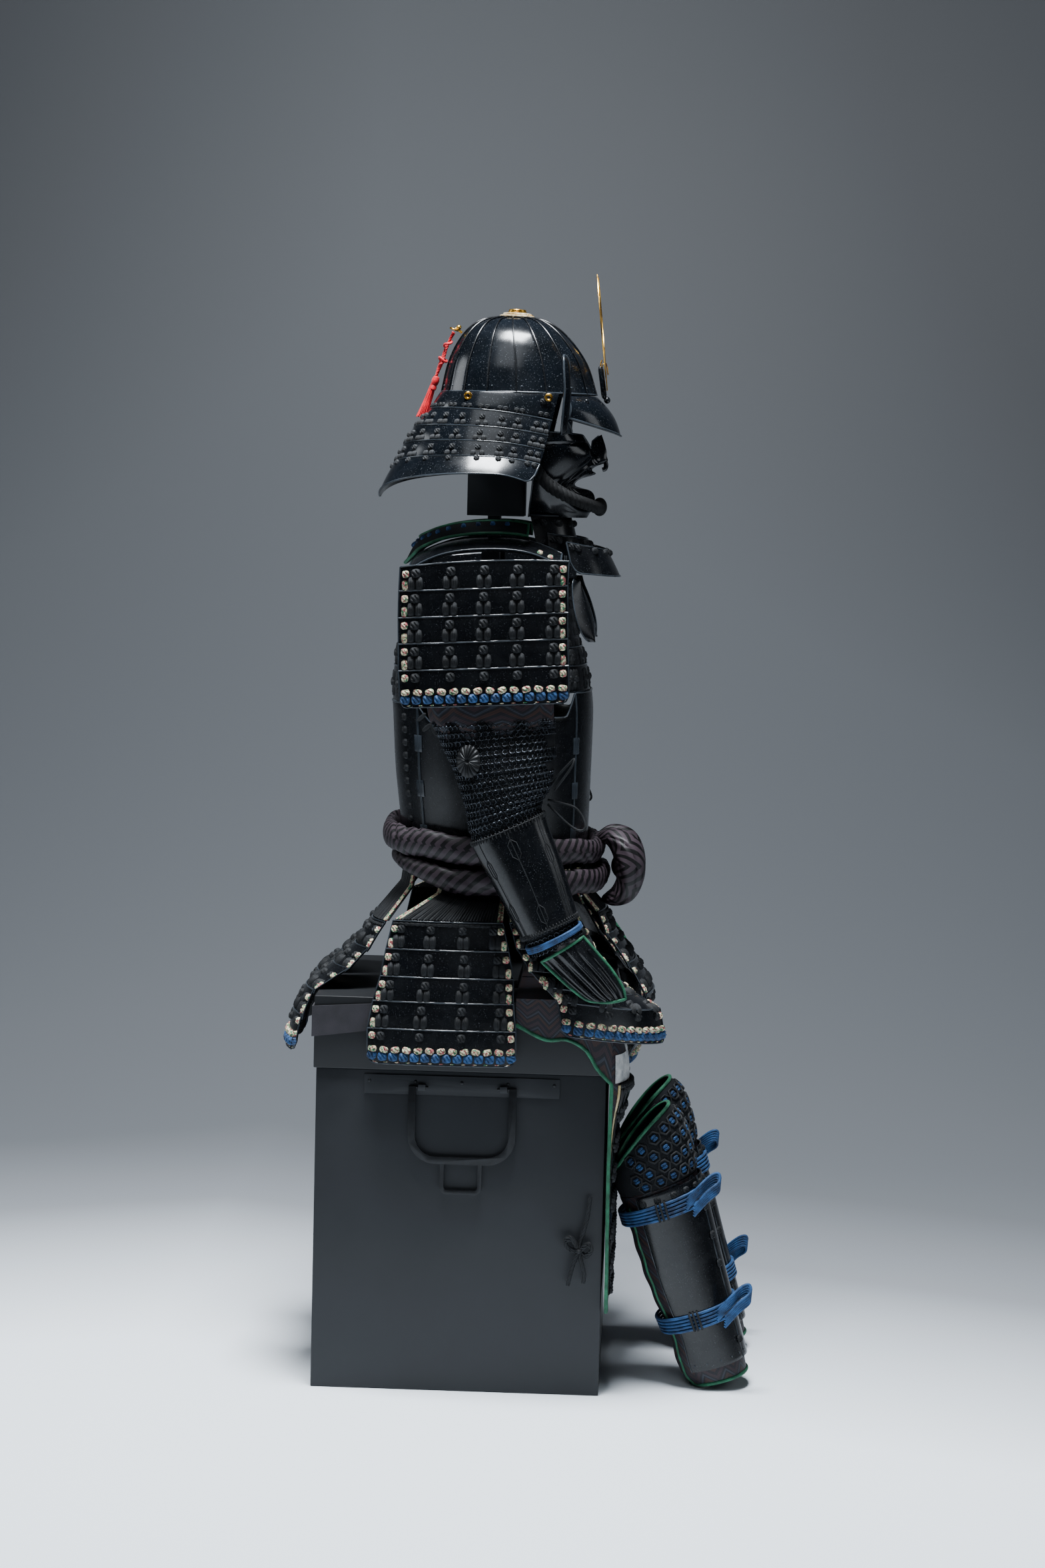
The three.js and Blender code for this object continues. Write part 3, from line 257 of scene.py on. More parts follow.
def metal(name, slot, per_metre, detail, stops, metallic, rough, dents=None):
    """Worked metal in patches of a dark and a light tone, so many to the metre.

    Rough is one value, or a pair for the dark and the light patches. Dents are hammer marks:
    their strength and their depth in metres."""
    material, tree = new_material(name, slot)
    place = add_node(tree, "TexCoord").outputs["Object"]
    patch = add_node(tree, "TexNoise", Vector=place, Scale=per_metre, Detail=detail).outputs[0]
    shade = add_node(tree, "ValToRGB", {"stops": stops}, Fac=patch)
    face = add_node(tree, "BsdfPrincipled", Base_Color=shade.outputs[0], Metallic=metallic)
    if isinstance(rough, tuple):
        worn = add_node(tree, "MapRange", Value=patch, To_Min=rough[0], To_Max=rough[1])
        tree.links.new(worn.outputs[0], face.inputs["Roughness"])
    else:
        face.inputs["Roughness"].default_value = rough
    if dents:
        dent = add_node(tree, "Bump", Height=patch, Strength=dents[0], Distance=dents[1])
        tree.links.new(dent.outputs[0], face.inputs["Normal"])
    add_node(tree, "OutputMaterial", Surface=face.outputs[0])
    return material


# forged iron, blacked with oil: dark, half metal, with a hammered unevenness of about 8 mm
black_iron = metal("blacked_iron", "black_iron", 120.0, 3.0, [(0.3, "#08090b"), (0.75, "#15171a")],
                   0.55, 0.46, dents=(0.2, 0.0008))


def picked(piece):
    """Selects one piece and nothing else."""
    bpy.ops.object.select_all(action="DESELECT")
    bpy.context.view_layer.objects.active = piece
    piece.select_set(True)


def added(name, data):
    """A new piece of mesh or curve data, linked to the scene and picked."""
    piece = bpy.data.objects.new(name, data)
    bpy.context.scene.collection.objects.link(piece)
    picked(piece)
    return piece


def apply_modifiers(piece, angle=38):
    """Applies all the modifiers of a piece and shades it smooth up to an edge angle in degrees."""
    picked(piece)
    for modifier in list(piece.modifiers):
        bpy.ops.object.modifier_apply(modifier=modifier.name)
    bpy.ops.object.shade_smooth_by_angle(angle=math.radians(angle))
    return piece


def fit(piece, material, *replaced, body="root"):
    """Gives a piece its material and slot, sets it riding and hides the CAD nodes it stands for."""
    piece.data.materials.clear()
    piece.data.materials.append(material)
    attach(piece, body)
    if replaced:
        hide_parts(*replaced)
    return piece


def rounded_copy(node, name, radius, segments=2):
    """A copy of a CAD solid with its loose triangles joined and its sharp edges rounded, in mm."""
    piece = added(name, nodes[node].data.copy())
    in_edit_mode(lambda: bpy.ops.mesh.remove_doubles(threshold=1e-6),
                 lambda: bpy.ops.mesh.dissolve_limited(angle_limit=math.radians(2)))
    edge = piece.modifiers.new("edge", "BEVEL")
    edge.width = radius * MM
    edge.segments = segments
    edge.angle_limit = math.radians(30)
    edge.use_clamp_overlap = True
    return apply_modifiers(piece, 32)


def joined(name, pieces):
    """Joins pieces into one mesh with a name of its own."""
    bpy.ops.object.select_all(action="DESELECT")
    for piece in pieces:
        piece.select_set(True)
    bpy.context.view_layer.objects.active = pieces[0]
    if len(pieces) > 1:
        bpy.ops.object.join()
    whole = bpy.context.view_layer.objects.active
    whole.name = whole.data.name = name
    return whole


def rivets(name, places, out, radius, rise=0.5, sides=10):
    """Domed heads at a list of places in mm, all facing out."""
    heads = []
    facing = Vector(out).to_track_quat("Z", "Y").to_matrix().to_4x4()
    for at in places:
        bpy.ops.object.select_all(action="DESELECT")
        bpy.ops.mesh.primitive_uv_sphere_add(segments=sides, ring_count=6, radius=radius * MM)
        head = bpy.context.object
        head.data.transform(Matrix.Translation(Vector(at) * MM) @ facing @ Matrix.Diagonal((1, 1, rise, 1)))
        heads.append(head)
    whole = joined(name, heads)
    bpy.ops.object.shade_smooth()
    return whole


def paint_for(name, slot):
    """The chest's paint on another of its parts."""
    material = chest_paint.copy()
    material.name = name
    material["slot"] = slot
    return material


# the plates were painted over with the chest, and the bails left bare
painted_iron = paint_for("painted_iron", "black_iron")

fit(rounded_copy("chest_body", "chest_box", 1.2), chest_paint, "chest_body")
# the lid is a darker copy of the chest paint: painted shade, for the shadow on its side
lid_paint = paint_for("lid_paint_painted_shade", "chest_paint")
for node in lid_paint.node_tree.nodes:
    if node.bl_idname == "ShaderNodeValToRGB":
        node.color_ramp.elements[0].color = linear("#0e0f11")
        node.color_ramp.elements[1].color = linear("#141619")
fit(rounded_copy("chest_lid", "chest_lid_shell", 1.6, 3), lid_paint, "chest_lid")
PLATE_FACE = 217.6
for word, side in SIDES:
    plate, bail = f"fitting_plate_{word}", f"bail_{word}"
    fit(rounded_copy(plate, f"iron_plate_{word}", 0.5), painted_iron, plate)
    fit(rounded_copy(bail, f"forged_bail_{word}", 1.1), black_iron, bail, body=bail)
    low, high = (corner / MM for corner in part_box(plate))
    heads = [(x, side * PLATE_FACE, (low.z + high.z) / 2 + 5) for x in np.linspace(low.x + 8, high.x - 8, 5)]
    fit(rivets(f"plate_rivets_{word}", heads, (0, side, 0), 2.6), black_iron)

# The stand: a plain post and yoke of the same painted wood, and a wooden block for the head.
stand_paint = paint_for("matt_stand_paint", "stand_paint")
fit(rounded_copy("stand", "stand_wood", 1.5), stand_paint, "stand")
fit(rounded_copy("head_block", "head_wood", 1.0), stand_paint, "head_block")

# ------------------------------------------------------------------------------ helmet bowl
# Eighteen hammered iron plates, riveted edge over edge and lacquered black, each edge turned up
# into a thin standing rib. Old lacquer: glossy to satin, a little dusty; the rims are lighter, partly for
# wear and partly as a painted highlight.
def lacquer(name, slot, dark, light, low, high, dust):
    """Urushi over iron or hide: a clear hard gloss coat gone satin, with fine dust specks in it."""
    material, tree = new_material(name, slot)
    place = add_node(tree, "TexCoord").outputs["Object"]
    cloud = add_node(tree, "TexNoise", Vector=place, Scale=16.0, Detail=5.0, Roughness=0.62)
    tint = add_node(tree, "ValToRGB", {"stops": [(0.32, dark), (0.72, light)]}, Fac=cloud.outputs[0])
    # dust grains, about 1 mm, drawn coarser than they are so that they show
    grain = add_node(tree, "TexNoise", Vector=place, Scale=620.0, Detail=2.0)
    speck = add_node(tree, "MapRange", Value=grain.outputs[0], From_Min=0.64, From_Max=0.76,
                     To_Max=dust)
    worn = add_node(tree, "Mix", {"data_type": "RGBA"}, _0=speck.outputs[0], _6=tint.outputs[0],
                    _7=linear("#6d7176"))
    smear = add_node(tree, "TexNoise", Vector=place, Scale=48.0, Detail=4.0, Distortion=0.6)
    rough = add_node(tree, "MapRange", Value=smear.outputs[0], From_Min=0.3, From_Max=0.7,
                     To_Min=low, To_Max=high)
    dent = add_node(tree, "Bump", Height=smear.outputs[0], Strength=0.05, Distance=0.001)
    skin = add_node(tree, "BsdfPrincipled", Base_Color=worn.outputs[2], Roughness=rough.outputs[0],
                    Normal=dent.outputs[0], IOR=1.4)
    add_node(tree, "OutputMaterial", Surface=skin.outputs[0])
    return material


bowl_lacquer = lacquer("helmet_lacquer", "black_lacquer", "#05070a", "#0c1015", 0.15, 0.22, 0.5)
plate_lacquer = lacquer("armour_lacquer", "black_lacquer", "#050608", "#0b0d10", 0.22, 0.30, 0.35)
# the rims' lighter colour is partly wear and partly a painted highlight, for the light they catch
rim_lacquer = lacquer("rim_lacquer_wear_and_highlight", "black_lacquer", "#1b1f23", "#343a40", 0.16, 0.22, 0.2)

# gilt copper: warm, bright, a little uneven where the gold is rubbed
gilt = metal("gilt_copper", "gilt_brass", 90.0, 4.0, [(0.35, "#a8741f"), (0.65, "#e0b455")],
             1.0, (0.18, 0.42))


def table(columns, *rows):
    """A short table with named columns."""
    names = columns.split()
    return [dict(zip(names, r)) for r in rows]


def read(rows, key, value, soft=True):
    """A table's row at a value of its key column, on a smooth curve through the rows."""
    keys = [r[key] for r in rows]
    if keys[-1] < keys[0]:
        rows, keys = rows[::-1], keys[::-1]
    last = len(rows) - 1
    i = 0
    while i < last - 1 and keys[i + 1] < value:
        i += 1
    gap = keys[i + 1] - keys[i]
    s = (value - keys[i]) / gap
    made = {}
    for name in rows[0]:
        a, b = rows[i][name], rows[i + 1][name]
        if not soft or last < 2:
            made[name] = a + (b - a) * s
            continue
        rise = b - a
        before = (b - rows[i - 1][name]) * gap / (keys[i + 1] - keys[i - 1]) if i else rise
        after = (rows[i + 2][name] - a) * gap / (keys[i + 2] - keys[i]) if i + 2 <= last else rise
        t = min(max(s, 0.0), 1.0)
        bend = t * (1 - t) * ((1 - t) * (before - rise) + t * (rise - after))
        made[name] = a + rise * s + bend
    return made


def power(value, p):
    """A power that keeps the value's sign."""
    return math.copysign(abs(value) ** p, value)


def oval(at, angle, p=0.8, grow=0.0):
    """A point on an oval plan with squared-off sides. Angle 0 is the front."""
    middle = (at["front"] + at["rear"]) / 2
    return (middle + ((at["front"] - at["rear"]) / 2 + grow) * power(math.cos(angle), p),
            (at["half"] + grow) * power(math.sin(angle), p), at["z"])


def walled(piece, wall, bevel=0.0, angle=38):
    """Gives a sheet its thickness, inward from its outer face, and rounds its edges."""
    if wall:
        layer = piece.modifiers.new("wall", "SOLIDIFY")
        layer.thickness = wall * MM
        layer.offset = -1
    if bevel:
        edge = piece.modifiers.new("edge", "BEVEL")
        edge.width = bevel * MM
        edge.segments = 2
        edge.limit_method = "ANGLE"
        edge.angle_limit = math.radians(50)
    return apply_modifiers(piece, angle)


def rods(name, paths, radius, closed=False, sides=8):
    """Round rods or cords along lists of places in mm, as one mesh."""
    line = bpy.data.curves.new(name, "CURVE")
    line.dimensions = "3D"
    line.bevel_depth = radius * MM
    line.bevel_resolution = max(0, (sides - 4) // 2)
    line.use_fill_caps = True
    for path in paths:
        run = line.splines.new("POLY")
        run.points.add(len(path) - 1)
        run.points.foreach_set("co", [c for p in path for c in (p[0] * MM, p[1] * MM, p[2] * MM, 1)])
        run.use_cyclic_u = closed
    added(name, line)
    bpy.ops.object.convert(target="MESH")
    in_edit_mode(lambda: bpy.ops.mesh.remove_doubles(threshold=1e-6),
                 lambda: bpy.ops.mesh.normals_make_consistent(inside=False))
    bpy.ops.object.shade_smooth_by_angle(angle=math.radians(60))
    return bpy.context.object


BOWL = table("z rear front half", (1485, -64, 170, 104), (1532, -53, 153, 95), (1570, -33, 124, 76),
             (1592, -8, 93, 47), (1599.5, 26, 58, 15))
PLATES = 18
PLATE_TURN = 2 * math.pi / PLATES


def numbered(rows):
    """A table's rows with their numbers, to read it by."""
    return [dict(r, step=i) for i, r in enumerate(rows)]


def bowl_at(angle, up, grow=0.0):
    """A point on the bowl: up is 0 at the rim and 1 at the crown."""
    at = read(numbered(BOWL), "step", up * (len(BOWL) - 1))
    x, y, z = oval(at, angle, 0.92, grow)
    return x, y, z + grow * 0.6 * up


def bowl_plate(across, down):
    """The bowl's whole skin of plates, from the crown down to the rim."""
    angle = across * 2 * math.pi
    # each plate hollows slightly between its ribs and laps 0.7 mm over the next one
    within = (angle / PLATE_TURN + 0.5) % 1
    hollow = -0.5 * math.sin(math.pi * within) + 0.9 * within
    return bowl_at(angle, 1 - down, 0.4 + hollow * (0.25 + 0.75 * down))


bowl = walled(shaped_grid("bowl_plates", 12 * PLATES, 28, bowl_plate, closed=True), 2.6, 0, 40)
fit(bowl, bowl_lacquer, "helmet_bowl")
ribs = [[bowl_at((k + 0.5) * PLATE_TURN, u, 1.9) for u in np.linspace(0.005, 0.985, 26)]
        for k in range(PLATES)]
fit(rods("bowl_ribs", ribs, 1.25, sides=6), plate_lacquer)
turn_round = np.linspace(0, 2 * math.pi, 97)[:-1]
quarter_turns = turn_round[::4]
fit(rods("bowl_rim", [[bowl_at(a, 0.0, 1.0) for a in turn_round]], 1.2, closed=True), rim_lacquer)
feet = []
for k in range(PLATES):
    for shift in (-0.16, 0.16):
        angle = (k + 0.5 + shift) * PLATE_TURN
        at = Vector(bowl_at(angle, 0.045, 0.3))
        out = Vector((math.cos(angle), math.sin(angle), 0.15))
        feet.append(rivets(f"foot{k}{shift}", [at], out, 1.5, 0.6, 8))
fit(joined("bowl_rivets", feet), rim_lacquer)

# The crown fitting: gilt tiers with a beaded edge, chased into petals, and a raised collar on top.
# An ivory-toned under-plate of worn silver gilt shows round it.
silver = metal("worn_silver_gilt", "gilt_brass", 120.0, 3.0, [(0.35, "#b79a6a"), (0.65, "#efe2c4")],
               0.7, 0.36)


def fill_ends():
    """Closes the open ends of the active piece."""
    in_edit_mode(lambda: bpy.ops.mesh.fill_holes(sides=0),
                 lambda: bpy.ops.mesh.normals_make_consistent(inside=False))


def turned_piece(name, profile, columns, place, flutes=0, depth=0.0, tilt=0.0):
    """A turned form: radius and height pairs in mm, with petals round its edge, set at a place."""
    turn_tilt = Matrix.Rotation(tilt, 3, "Y")

    def where(across, down):
        r, h = profile[round(down * (len(profile) - 1))]
        angle = across * 2 * math.pi
        r += depth * abs(math.sin(angle * flutes / 2)) * (r > 8) if flutes else 0
        p = turn_tilt @ Vector((r * math.cos(angle), r * math.sin(angle), h))
        return p.x + place[0], p.y + place[1], p.z + place[2]

    piece = shaped_grid(name, columns, len(profile) - 1, where, closed=True)
    fill_ends()
    return apply_modifiers(piece, 35)


CROWN = (47, 0, 1600.2)
BEAD_RING = 22.6
tiers = [(12, 0.6), (24, -1.4), (25.6, -0.6), (25.6, 0.6), (23.5, 1.8), (20.5, 2.4), (20.5, 3.8), (19, 5.0),
         (14.5, 5.6)]
fit(turned_piece("crown_tiers", tiers, 96, CROWN, 16, 1.3, 0.03), silver, "crown_fitting")
collar_ring = [(14.6, 5.2), (14.2, 7.0), (13.0, 7.6), (13.0, 9.6), (12.0, 10.6), (9.6, 10.4), (9.4, 5.0)]
fit(turned_piece("crown_collar", collar_ring, 48, CROWN, tilt=0.03), gilt)
beads = [(CROWN[0] + BEAD_RING * math.cos(a), BEAD_RING * math.sin(a), CROWN[2] + 1.6) for a in quarter_turns]
fit(rivets("crown_beads", beads, (0, 0, 1), 1.3, 0.8, 8), gilt)

# ------------------------------------------------------------------------------ red tassel
# A gilt knob and ring on the back of the bowl carries a red silk cord, looped and knotted twice,
# that ends in a tassel of loose twisted threads under a bound head.
def silk(name, slot, dark, light, sheen=0.12, rough=0.7, flecks=()):
    """Braided silk cord: soft broad highlights, with the strands' own fine grain of about 1 mm.

    Flecks are other colours in the braid, each with a number that places it."""
    material, tree = new_material(name, slot)
    place = add_node(tree, "TexCoord").outputs["Object"]
    strand = add_node(tree, "TexNoise", Vector=place, Scale=820.0, Detail=2.0)
    fade = add_node(tree, "TexNoise", Vector=place, Scale=70.0, Detail=3.0)
    mixed = add_node(tree, "Math", {"operation": "MULTIPLY_ADD"}, _0=strand.outputs[0], _1=0.6,
                     _2=fade.outputs[0])
    tint = add_node(tree, "ValToRGB", {"stops": [(0.55, dark), (1.0, light)]}, Fac=mixed.outputs[0])
    colour = tint.outputs[0]
    for code, seed in flecks:
        spot = add_node(tree, "Mapping", Vector=place, Location=(seed, 0, 0), Scale=(240, 240, 240))
        patch = add_node(tree, "TexNoise", Vector=spot.outputs[0], Scale=1.0, Detail=1.0)
        where = add_node(tree, "MapRange", Value=patch.outputs[0], From_Min=0.55, From_Max=0.58)
        colour = add_node(tree, "Mix", {"data_type": "RGBA"}, _0=where.outputs[0], _6=colour,
                          _7=linear(code)).outputs[2]
    dent = add_node(tree, "Bump", Height=strand.outputs[0], Strength=0.5, Distance=0.0006)
    thread = add_node(tree, "BsdfPrincipled", Base_Color=colour, Roughness=rough, Normal=dent.outputs[0],
                      Sheen_Weight=sheen, Sheen_Roughness=0.4, Specular_IOR_Level=0.3)
    add_node(tree, "OutputMaterial", Surface=thread.outputs[0])
    return material


red_silk = silk("red_silk_cord", "red_silk", "#8e0d16", "#d8202c", rough=0.5)
black_silk = silk("black_silk_braid", "black_cord", "#040506", "#111418", sheen=0.02, rough=0.7)
blue_silk = silk("blue_silk_braid", "black_cord", "#0a1930", "#1f4a78", sheen=0.06, rough=0.62)
flecked_silk = silk("flecked_silk_braid", "black_cord", "#8f876a", "#d6cdae", rough=0.6,
                    flecks=(("#2c6a48", 3.1), ("#8e4a4c", 7.7)))
green_silk = silk("green_silk_piping", "black_cloth", "#0c3222", "#226648", sheen=0.06, rough=0.6)
CORDS = {"black": black_silk, "blue": blue_silk, "flecked": flecked_silk, "green": green_silk}

swivel = [(-36, 0, 1574), (-42, 0, 1579), (-46, 0, 1580)]
fit(joined("tassel_ring", [
    rods("ring_stem", [swivel], 2.0),
    rods("ring_loop", [[(-48 + 5.5 * math.cos(a), 5.5 * math.sin(a), 1579 - 2 * math.cos(a))
                        for a in quarter_turns]], 1.5, closed=True),
    rivets("ring_knob", [(-41, 0, 1582)], (-0.5, 0, 1), 4.2, 0.9),
]), gilt)
TASSEL_CORD = [(-49, 0, 1575), (-53, 1, 1566), (-57, 2, 1556), (-60, 1, 1547), (-62, -1, 1538),
               (-65, -2, 1528), (-69, -1, 1519), (-73, 0, 1510), (-76, 0, 1503)]


def smooth_path(points, steps):
    """Places along a smooth curve through a short list of points."""
    rows = numbered(table("x y z", *points))
    run = [read(rows, "step", at) for at in np.linspace(0, len(points) - 1, steps)]
    return [(r["x"], r["y"], r["z"]) for r in run]


def path_length(run):
    """The length in metres of a path in mm."""
    return sum((Vector(b) - Vector(a)).length for a, b in zip(run, run[1:])) * MM


def in_metres(place):
    """A place in mm, in metres."""
    return tuple(v * MM for v in place)


def braid(name, points, radius, strands=3, pitch=None, steps=80):
    """Strands that wind round each other along a path: a laid or braided cord, as one mesh."""
    run = [Vector(p) for p in smooth_path(points, steps)]
    pitch = pitch or radius * 7
    side = Vector((0.3, 0.2, 1)).cross(run[1] - run[0]).normalized()
    far, paths = 0.0, [[] for _ in range(strands)]
    for i, p in enumerate(run):
        ahead = run[min(i + 1, len(run) - 1)] - run[max(i - 1, 0)]
        ahead.normalize()
        side = (side - ahead * side.dot(ahead)).normalized()
        other = ahead.cross(side)
        far += (p - run[i - 1]).length if i else 0
        for k in range(strands):
            turn = 2 * math.pi * (far / pitch + k / strands)
            paths[k].append(p + (side * math.cos(turn) + other * math.sin(turn)) * radius * 0.48)
    return rods(name, paths, radius * 0.55, sides=6)


red_cord = braid("tassel_cord", TASSEL_CORD, 2.2)
second = [(-48, 3, 1574), (-55, 5, 1562), (-61, 4, 1549), (-65, 2, 1537), (-70, 3, 1524), (-74, 1, 1508)]
loops = []
for x, z, size, lean in ((-57, 1557, 6.5, 0.5), (-64, 1533, 6.0, -0.4), (-66, 1527, 5.0, 0.9)):
    loops.append([(x + size * math.cos(a) * math.cos(lean), size * math.sin(a),
                   z + size * math.cos(a) * math.sin(lean) + 1.5 * math.sin(2 * a)) for a in quarter_turns])
fit(joined("tassel_knots", [braid("tassel_second", second, 2.0),
                            rods("tassel_loops", loops, 1.9, closed=True)]), red_silk)
threads = []
TASSEL_TOP, TASSEL_FOOT = Vector((-76, 0, 1502)), Vector((-94, 0, 1446))
THREADS, GOLDEN_TURN = 90, 2.39996
for k in range(THREADS):
    turn, share = k * GOLDEN_TURN, math.sqrt((k + 0.5) / THREADS)
    spread = Vector((math.cos(turn), math.sin(turn), 0))
    wave = random.uniform(-1, 1)
    length = random.uniform(0.93, 1.0)
    threads.append([TASSEL_TOP.lerp(TASSEL_FOOT, t * length)
                    + spread * share * (3.2 + 5.2 * t ** 1.3) + Vector((wave * math.sin(5 * t), 0, 0))
                    for t in np.linspace(0, 1, 9)])
bound_head = [(0.5, 9), (4.5, 7), (6, 2), (5.4, -3), (4.2, -6), (5.2, -8), (5.2, -12), (4, -13)]
head = turned_piece("tassel_head", bound_head, 24, (-75, 0, 1500), 12, 0.5, 0.3)
fit(joined("tassel_threads", [rods("threads", threads, 0.75, sides=4), head]), red_silk, "tassel")
fit(red_cord, red_silk)
run = smooth_path(TASSEL_CORD, 120)
in_metres(TASSEL_CORD[0])
path_length(run)
[in_metres(p) for p in run]

# ------------------------------------------------------------------------------ neck guard
# A band and four lacquered hide lames that flare over the neck. Each lame hangs outside the one
# above by pairs of black silk cords, tied off in square knots, and has a turned-up upper rim.
NECK = table("rear_z side_z tip_z rear half tip", (1457, 1459, 1444, -80, 114, 107),
             (1429, 1434, 1422, -103, 124, 102), (1401, 1412, 1400, -118, 134, 97),
             (1373, 1389, 1379, -132, 145, 91), (1325, 1362, 1350, -156, 166, 79))
LEDGE = 2.2


def horseshoe(at, across, grow=0.0):
    """Round the back from one front tip to the other."""
    turn = across * 2 - 1
    share = abs(turn)
    bend, centre = 0.62, 18
    z = (at["rear_z"] * (1 - share) * (1 - 2 * share) + 4 * at["side_z"] * share * (1 - share)
         + at["tip_z"] * share * (2 * share - 1))
    if share <= bend:
        angle = share / bend * math.pi / 2
        return (centre - (centre - at["rear"] + grow) * math.cos(angle) ** 0.9,
                math.copysign((at["half"] + grow) * math.sin(angle) ** 0.9, turn), z)
    on = (share - bend) / (1 - bend)
    return centre + (at["tip"] - centre) * on, math.copysign(at["half"] + grow - 9 * on * on, turn), z


def run_over(face, *legs):
    """A path over a face. Each leg has its across and down at both ends, and a count of places."""
    return [face(across, down) for a0, d0, a1, d1, count in legs
            for across, down in zip(np.linspace(a0, a1, count), np.linspace(d0, d1, count))]


def lames(name, rows, surface, columns=36, wall=2.4, lap=0.15, corner=16, rim=1.2, crown=1.0, inside=None):
    """Plates that lap one over the next. Surface(across, place, grow) is a point on their face.

    Place counts the rows of the table. Returns the plates, their rims and each plate's own face."""
    count = len(rows) - 1
    width = sum((Vector(surface(a + 0.05, count - 0.5, 0)) - Vector(surface(a, count - 0.5, 0))).length
                for a in np.arange(0, 0.99, 0.05))
    height = (Vector(surface(0.5, count, 0)) - Vector(surface(0.5, count - 1, 0))).length

    def depth(across):
        gap = corner - min(across, 1 - across) * width
        return 1 if gap <= 0 else 1 - (corner - math.sqrt(max(0, corner ** 2 - gap ** 2))) / height

    faces, plates, edges = [], [], []
    for i in range(count):
        def face(across, down, i=i, last=i == count - 1):
            run = depth(across) if last else 1 + lap
            grow = LEDGE * (1 - down * run) + crown * math.sin(math.pi * min(1, down))
            return surface(across, i + down * run, grow)

        faces.append(face)
        plates.append(shaped_grid(f"{name}{i}", columns, 7, face, inside=inside))
        edges.append(run_over(face, (0, 0, 1, 0, columns + 1)))
    edges.append(run_over(faces[-1], (0, 0.02, 0, 1, 8), (0, 1, 1, 1, 2 * columns + 1), (1, 1, 1, 0.02, 8)))
    return walled(joined(name, plates), wall, 0, 45), rods(f"{name}_rims", edges, rim, sides=6), faces


def unit_shape(name, columns, rows, height):
    """A small pad one unit across and high, closed underneath, as its points and faces."""
    pad = shaped_grid(name, columns, rows,
                      lambda a, d: ((a - 0.5) / MM, (0.5 - d) / MM, height(2 * a - 1, 1 - 2 * d) / MM),
                      inside=(0, 0, -5 / MM))
    fill_ends()
    points = np.array([tuple(v.co) for v in pad.data.vertices])
    # the square outline is drawn in to a round-cornered one
    reach = np.abs(points[:, :2]).max(axis=1, keepdims=True)
    away = np.linalg.norm(points[:, :2], axis=1, keepdims=True)
    points[:, :2] *= 1 - 0.62 * (1 - np.where(away > 0, reach / np.maximum(away, 1e-9), 1))
    faces = [tuple(p.vertices) for p in pad.data.polygons]
    bpy.data.objects.remove(pad)
    return points, faces


def pillow(x, y):
    """A pad's height, full in the middle and rounded down to its edges."""
    return (max(0, 1 - abs(x) ** 3.2) * max(0, 1 - abs(y) ** 3.2)) ** 0.42


# a square knot: slanting strands over a round pad; a lobe: a short length of plaited cord;
# a leg: strands side by side, fanned out under a knot; a stud: a plain round pad
SHAPES = {
    "knot": unit_shape("knot", 9, 9, lambda x, y: pillow(x, y) * (0.76 + 0.24 * math.cos(6.4 * (x + y)))),
    "lobe": unit_shape("lobe", 5, 8, lambda x, y: pillow(x, y)
                       * (0.78 + 0.22 * math.cos(9 * (y + 0.5 * abs(x))))),
    "leg": unit_shape("leg", 12, 5, lambda x, y: pillow(x, y) * (0.8 + 0.2 * math.cos(12.5 * x + 1.5 * y))),
    "stud": unit_shape("stud", 4, 4, pillow),
}


def spot_on(face, across, down, width, height, depth, lift=-0.3, inside=None, spin=0.0):
    """Where a small piece sits on a face: its place, its three directions and its size in mm."""
    step = 0.004
    a0, a1 = max(0, across - step), min(1, across + step)
    d0, d1 = max(0, down - step), min(1, down + step)
    at = Vector(face(across, down))
    along = (Vector(face(a1, down)) - Vector(face(a0, down))).normalized()
    out = along.cross(Vector(face(across, d1)) - Vector(face(across, d0))).normalized()
    heart = Vector(inside) if inside else Vector((ARMOUR_AXIS, 0, at.z))
    if out.dot(at - heart) < 0:
        out.negate()
    up = out.cross(along)
    if up.z < 0:
        along, up = -along, -up
    if spin:
        along, up = along * math.cos(spin) + up * math.sin(spin), up * math.cos(spin) - along * math.sin(spin)
    return at + out * lift, along * width, up * height, out * depth


def repeated(name, spots):
    """One mesh of small shapes, each set down at its own spot."""
    points, faces, base = [], [], 0
    for shape, (at, along, up, out) in spots:
        unit, unit_faces = SHAPES[shape]
        points.append((unit @ np.array((along, up, out)) + np.array(at)) * MM)
        faces += [tuple(i + base for i in f) for f in unit_faces]
        base += len(unit)
    mesh = bpy.data.meshes.new(name)
    mesh.from_pydata(np.concatenate(points).tolist(), [], faces)
    return added(name, mesh)


def tie_row(face, shape, cord, places, down, *size, **how):
    """Like ties at places across a face."""
    return [(shape, cord, spot_on(face, across, down, *size, **how)) for across in places]


def lace(name, ties):
    """Makes all of an assembly's knots and cord legs: one joined mesh for each colour of silk."""
    for cord in sorted({t[1] for t in ties}):
        piece = repeated(f"{name}_{cord}", [(shape, spot) for shape, colour, spot in ties if colour == cord])
        bpy.ops.object.shade_smooth_by_angle(angle=math.radians(70))
        fit(piece, CORDS[cord])


def knot_and_legs(ties, face, across, down, size, leg, legs_to, width):
    """A black square knot and the two legs under it that pass behind the next plate."""
    ties.append(("knot", "black", spot_on(face, across, down, size, size, size * 0.42)))
    if legs_to is not None:
        wide, tall = leg
        places = [across + shift * wide / width for shift in (-0.5, 0.5)]
        ties += tie_row(face, "leg", "black", places, (down + legs_to) / 2 + 0.12,
                        wide * 1.04, tall, wide * 0.5)


def neck_face(across, place, grow):
    """A point on the neck guard, which flares from row to row."""
    return horseshoe(read(numbered(NECK), "step", place), across, grow)


